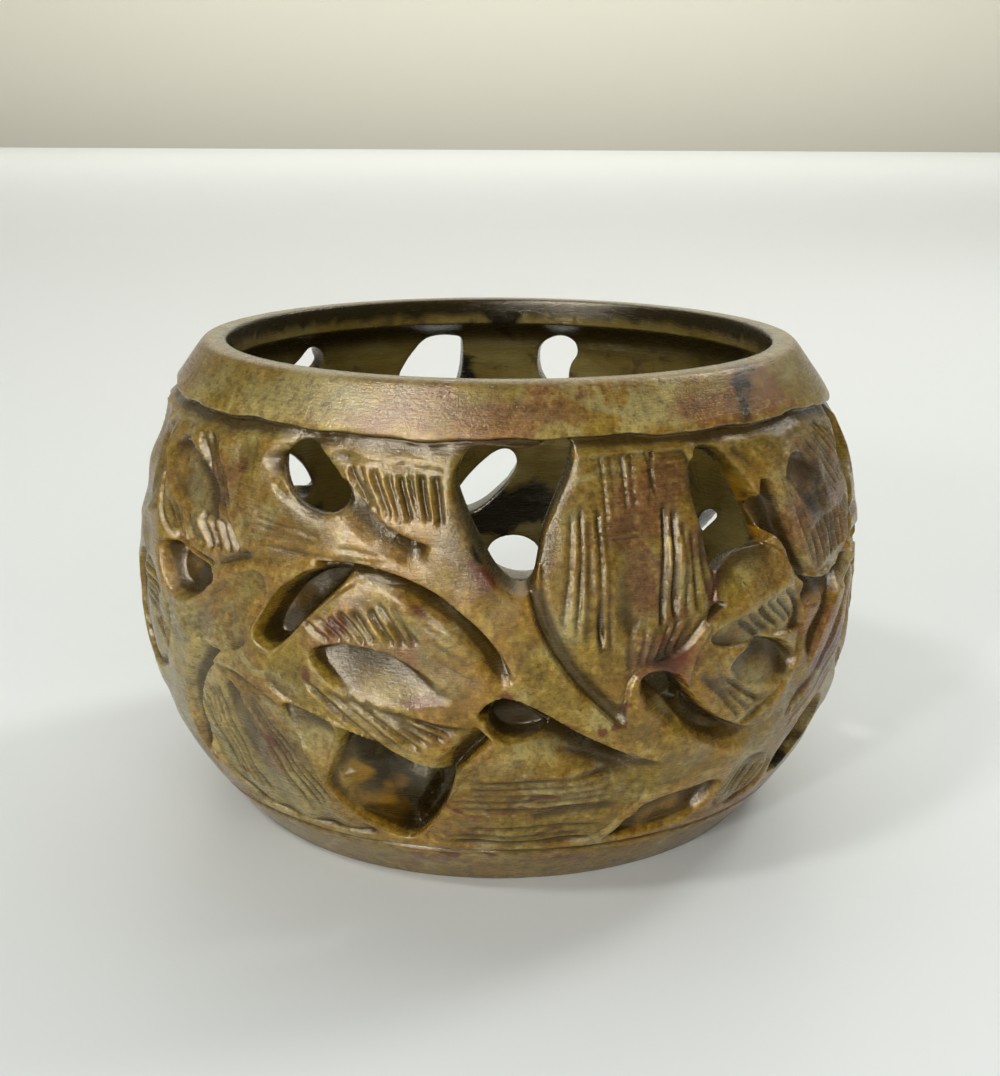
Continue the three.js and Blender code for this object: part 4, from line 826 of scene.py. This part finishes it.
    # polish: roughness and bump follow fine scratches that lie along the work;
    # a little smoother in deep cuts, a little rougher inside
    def scratches(rotation, scale):
        scr = m.node("ShaderNodeMapping")
        scr.inputs["Scale"].default_value = scale
        scr.inputs["Rotation"].default_value = rotation
        m.put(scr.inputs["Vector"], mm)
        return m.noise(scr.outputs[0], 1.0, 4, 0.7)
    level = scratches((0.0, 0.12, 0.3), (0.35, 0.35, 5.5))
    steep = scratches((0.7, -0.5, 0.2), (0.5, 0.5, 4.5))
    n_scr = m.math("MULTIPLY_ADD", steep, 0.6, m.math("MULTIPLY", level, 0.4))
    rough = m.remap(n_scr, 0.36, 0.64, 0.15, 0.35)
    rough = m.math("MULTIPLY_ADD", deep, -0.04, rough)
    rough = m.math("MULTIPLY_ADD", inner, 0.02, rough)
    height = m.math("MULTIPLY_ADD", n_scr, 0.55, m.math("MULTIPLY_ADD", n_sml, 0.50, m.math("MULTIPLY", n_fin, 0.50)))
    bump = m.node("ShaderNodeBump")
    bump.inputs["Strength"].default_value = 1.0
    bump.inputs["Distance"].default_value = 0.00011
    m.put(bump.inputs["Height"], height)
    b = m.node("ShaderNodeBsdfPrincipled")
    m.put(b.inputs["Base Color"], col)
    m.put(b.inputs["Roughness"], rough)
    m.put(b.inputs["Normal"], bump.outputs[0])
    b.inputs["IOR"].default_value = 1.54
    b.inputs["Specular IOR Level"].default_value = 0.36
    b.inputs["Specular Tint"].default_value = (1.0, 0.88, 0.66, 1.0)
    b.inputs["Coat Weight"].default_value = 0.16
    b.inputs["Coat Roughness"].default_value = 0.12
    m.put(b.inputs["Coat Normal"], bump.outputs[0])
    out = m.node("ShaderNodeOutputMaterial")
    m.put(out.inputs[0], b.outputs[0])
    return m.mat


carve()
stone = decimated(stone_mesh(), 196000)
paint(stone)
stone.data.materials.clear()
stone.data.materials.append(soapstone())
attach(stone, "root")
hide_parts("carved_bowl")


# ------------------------------------------------------------- floor and light
def plain(name, rgb, rough):
    m = Nodes(name)
    tc = m.node("ShaderNodeTexCoord")
    n = m.noise(tc.outputs["Object"], 9.0, 3, 0.5)
    b = m.node("ShaderNodeBsdfPrincipled")
    m.put(b.inputs["Base Color"], m.mix(m.remap(n, 0.3, 0.7, 0.0, 0.06), rgb, tuple(c * 0.93 for c in rgb)))
    b.inputs["Roughness"].default_value = rough
    out = m.node("ShaderNodeOutputMaterial")
    m.put(out.inputs[0], b.outputs[0])
    return m.mat


def sheet(name, corners, mat):
    me = bpy.data.meshes.new(name)
    me.from_pydata([Vector(c) for c in corners], [], [(0, 1, 2, 3)])
    ob = bpy.data.objects.new(name, me)
    bpy.context.scene.collection.objects.link(ob)
    me.materials.append(mat)
    return ob


sheet("floor", [(-4, -1.5, 0), (4, -1.5, 0), (4, 3.28, 0), (-4, 3.22, 0)], plain("floor_white", (0.712, 0.745, 0.742), 0.42))
sheet("wall", [(-6, 3.6, -1.5), (6, 3.6, -1.5), (6, 3.6, 4), (-6, 3.6, 4)], plain("wall_cream", (0.80, 0.78, 0.66), 0.9))

# camera fitted to the rim, the foot and the outline in the photograph
PITCH, YAW, ROLL = (math.radians(v) for v in (15.132, 0.068, 0.297))
fw = Vector((math.sin(YAW) * math.cos(PITCH), math.cos(YAW) * math.cos(PITCH), -math.sin(PITCH)))
right = fw.cross(Vector((0, 0, 1))).normalized()
up = right.cross(fw)
rr = right * math.cos(ROLL) + up * math.sin(ROLL)
uu = up * math.cos(ROLL) - right * math.sin(ROLL)
cam_data = bpy.data.cameras.new("camera")
cam = bpy.data.objects.new("camera", cam_data)
bpy.context.scene.collection.objects.link(cam)
cam.matrix_world = Matrix(((rr.x, uu.x, -fw.x, 0.0), (rr.y, uu.y, -fw.y, -0.2111), (rr.z, uu.z, -fw.z, 0.09365), (0, 0, 0, 1)))
cam_data.sensor_fit = "VERTICAL"
cam_data.sensor_height = 36
cam_data.sensor_width = 36 * 1000 / 1076
cam_data.lens = 1538.2 / 1076 * 36
cam_data.shift_y = -(538 - 521.6) / 1076
cam_data.clip_start = 0.01
bpy.context.scene.camera = cam


def area(name, at, to, size, power, color=(1, 1, 1), diffuse=True, glossy=True):
    d = bpy.data.lights.new(name, "AREA")
    d.shape = "ELLIPSE" if size[0] == size[1] else "RECTANGLE"
    d.size, d.size_y = size
    d.energy = power
    d.color = color
    ob = bpy.data.objects.new(name, d)
    bpy.context.scene.collection.objects.link(ob)
    ob.location = at
    ob.visible_diffuse, ob.visible_glossy = diffuse, glossy
    ob.rotation_euler = (Vector(to) - Vector(at)).to_track_quat("-Z", "Y").to_euler()
    return ob


area("ceiling", (0.1, 1.5, 2.3), (0.1, 1.3, 0), (3.2, 2.4), 33, (1.0, 1.0, 0.985))
area("front_window", (0.30, -1.5, 0.80), (0, 0, 0.0), (1.6, 0.8), 13, (1.0, 0.995, 0.98), glossy=False)
area("lamp_left", (-0.70, -0.57, 1.13), (0, 0, 0.04), (0.20, 0.20), 4.6, (1.0, 0.985, 0.95))
area("lamp_low", (-0.56, -1.0, 0.43), (0, 0, 0.03), (0.12, 0.12), 4.4, (1.0, 0.99, 0.97))
area("lamp_right", (0.62, 0.42, 0.72), (0, 0, 0.03), (0.24, 0.24), 3.0, (1.0, 0.99, 0.97))
area("sheen_high", (-0.72, -0.60, 1.10), (0, 0, 0.04), (0.36, 0.36), 22, (1.0, 0.985, 0.95), diffuse=False)
area("sheen_low", (-0.56, -1.0, 0.43), (0, 0, 0.03), (0.36, 0.36), 17, (1.0, 0.99, 0.97), diffuse=False)
area("wall_wash", (0, 2.4, 1.9), (0, 3.6, 0.4), (3.0, 0.6), 36, (1.0, 0.985, 0.945))
world = bpy.data.worlds.new("soft_room")
bpy.context.scene.world = world
world.use_nodes = True
bg = world.node_tree.nodes["Background"]
bg.inputs[0].default_value = (1.0, 0.97, 0.92, 1)
bg.inputs[1].default_value = 0.16
bpy.context.scene.view_settings.view_transform = "Standard"

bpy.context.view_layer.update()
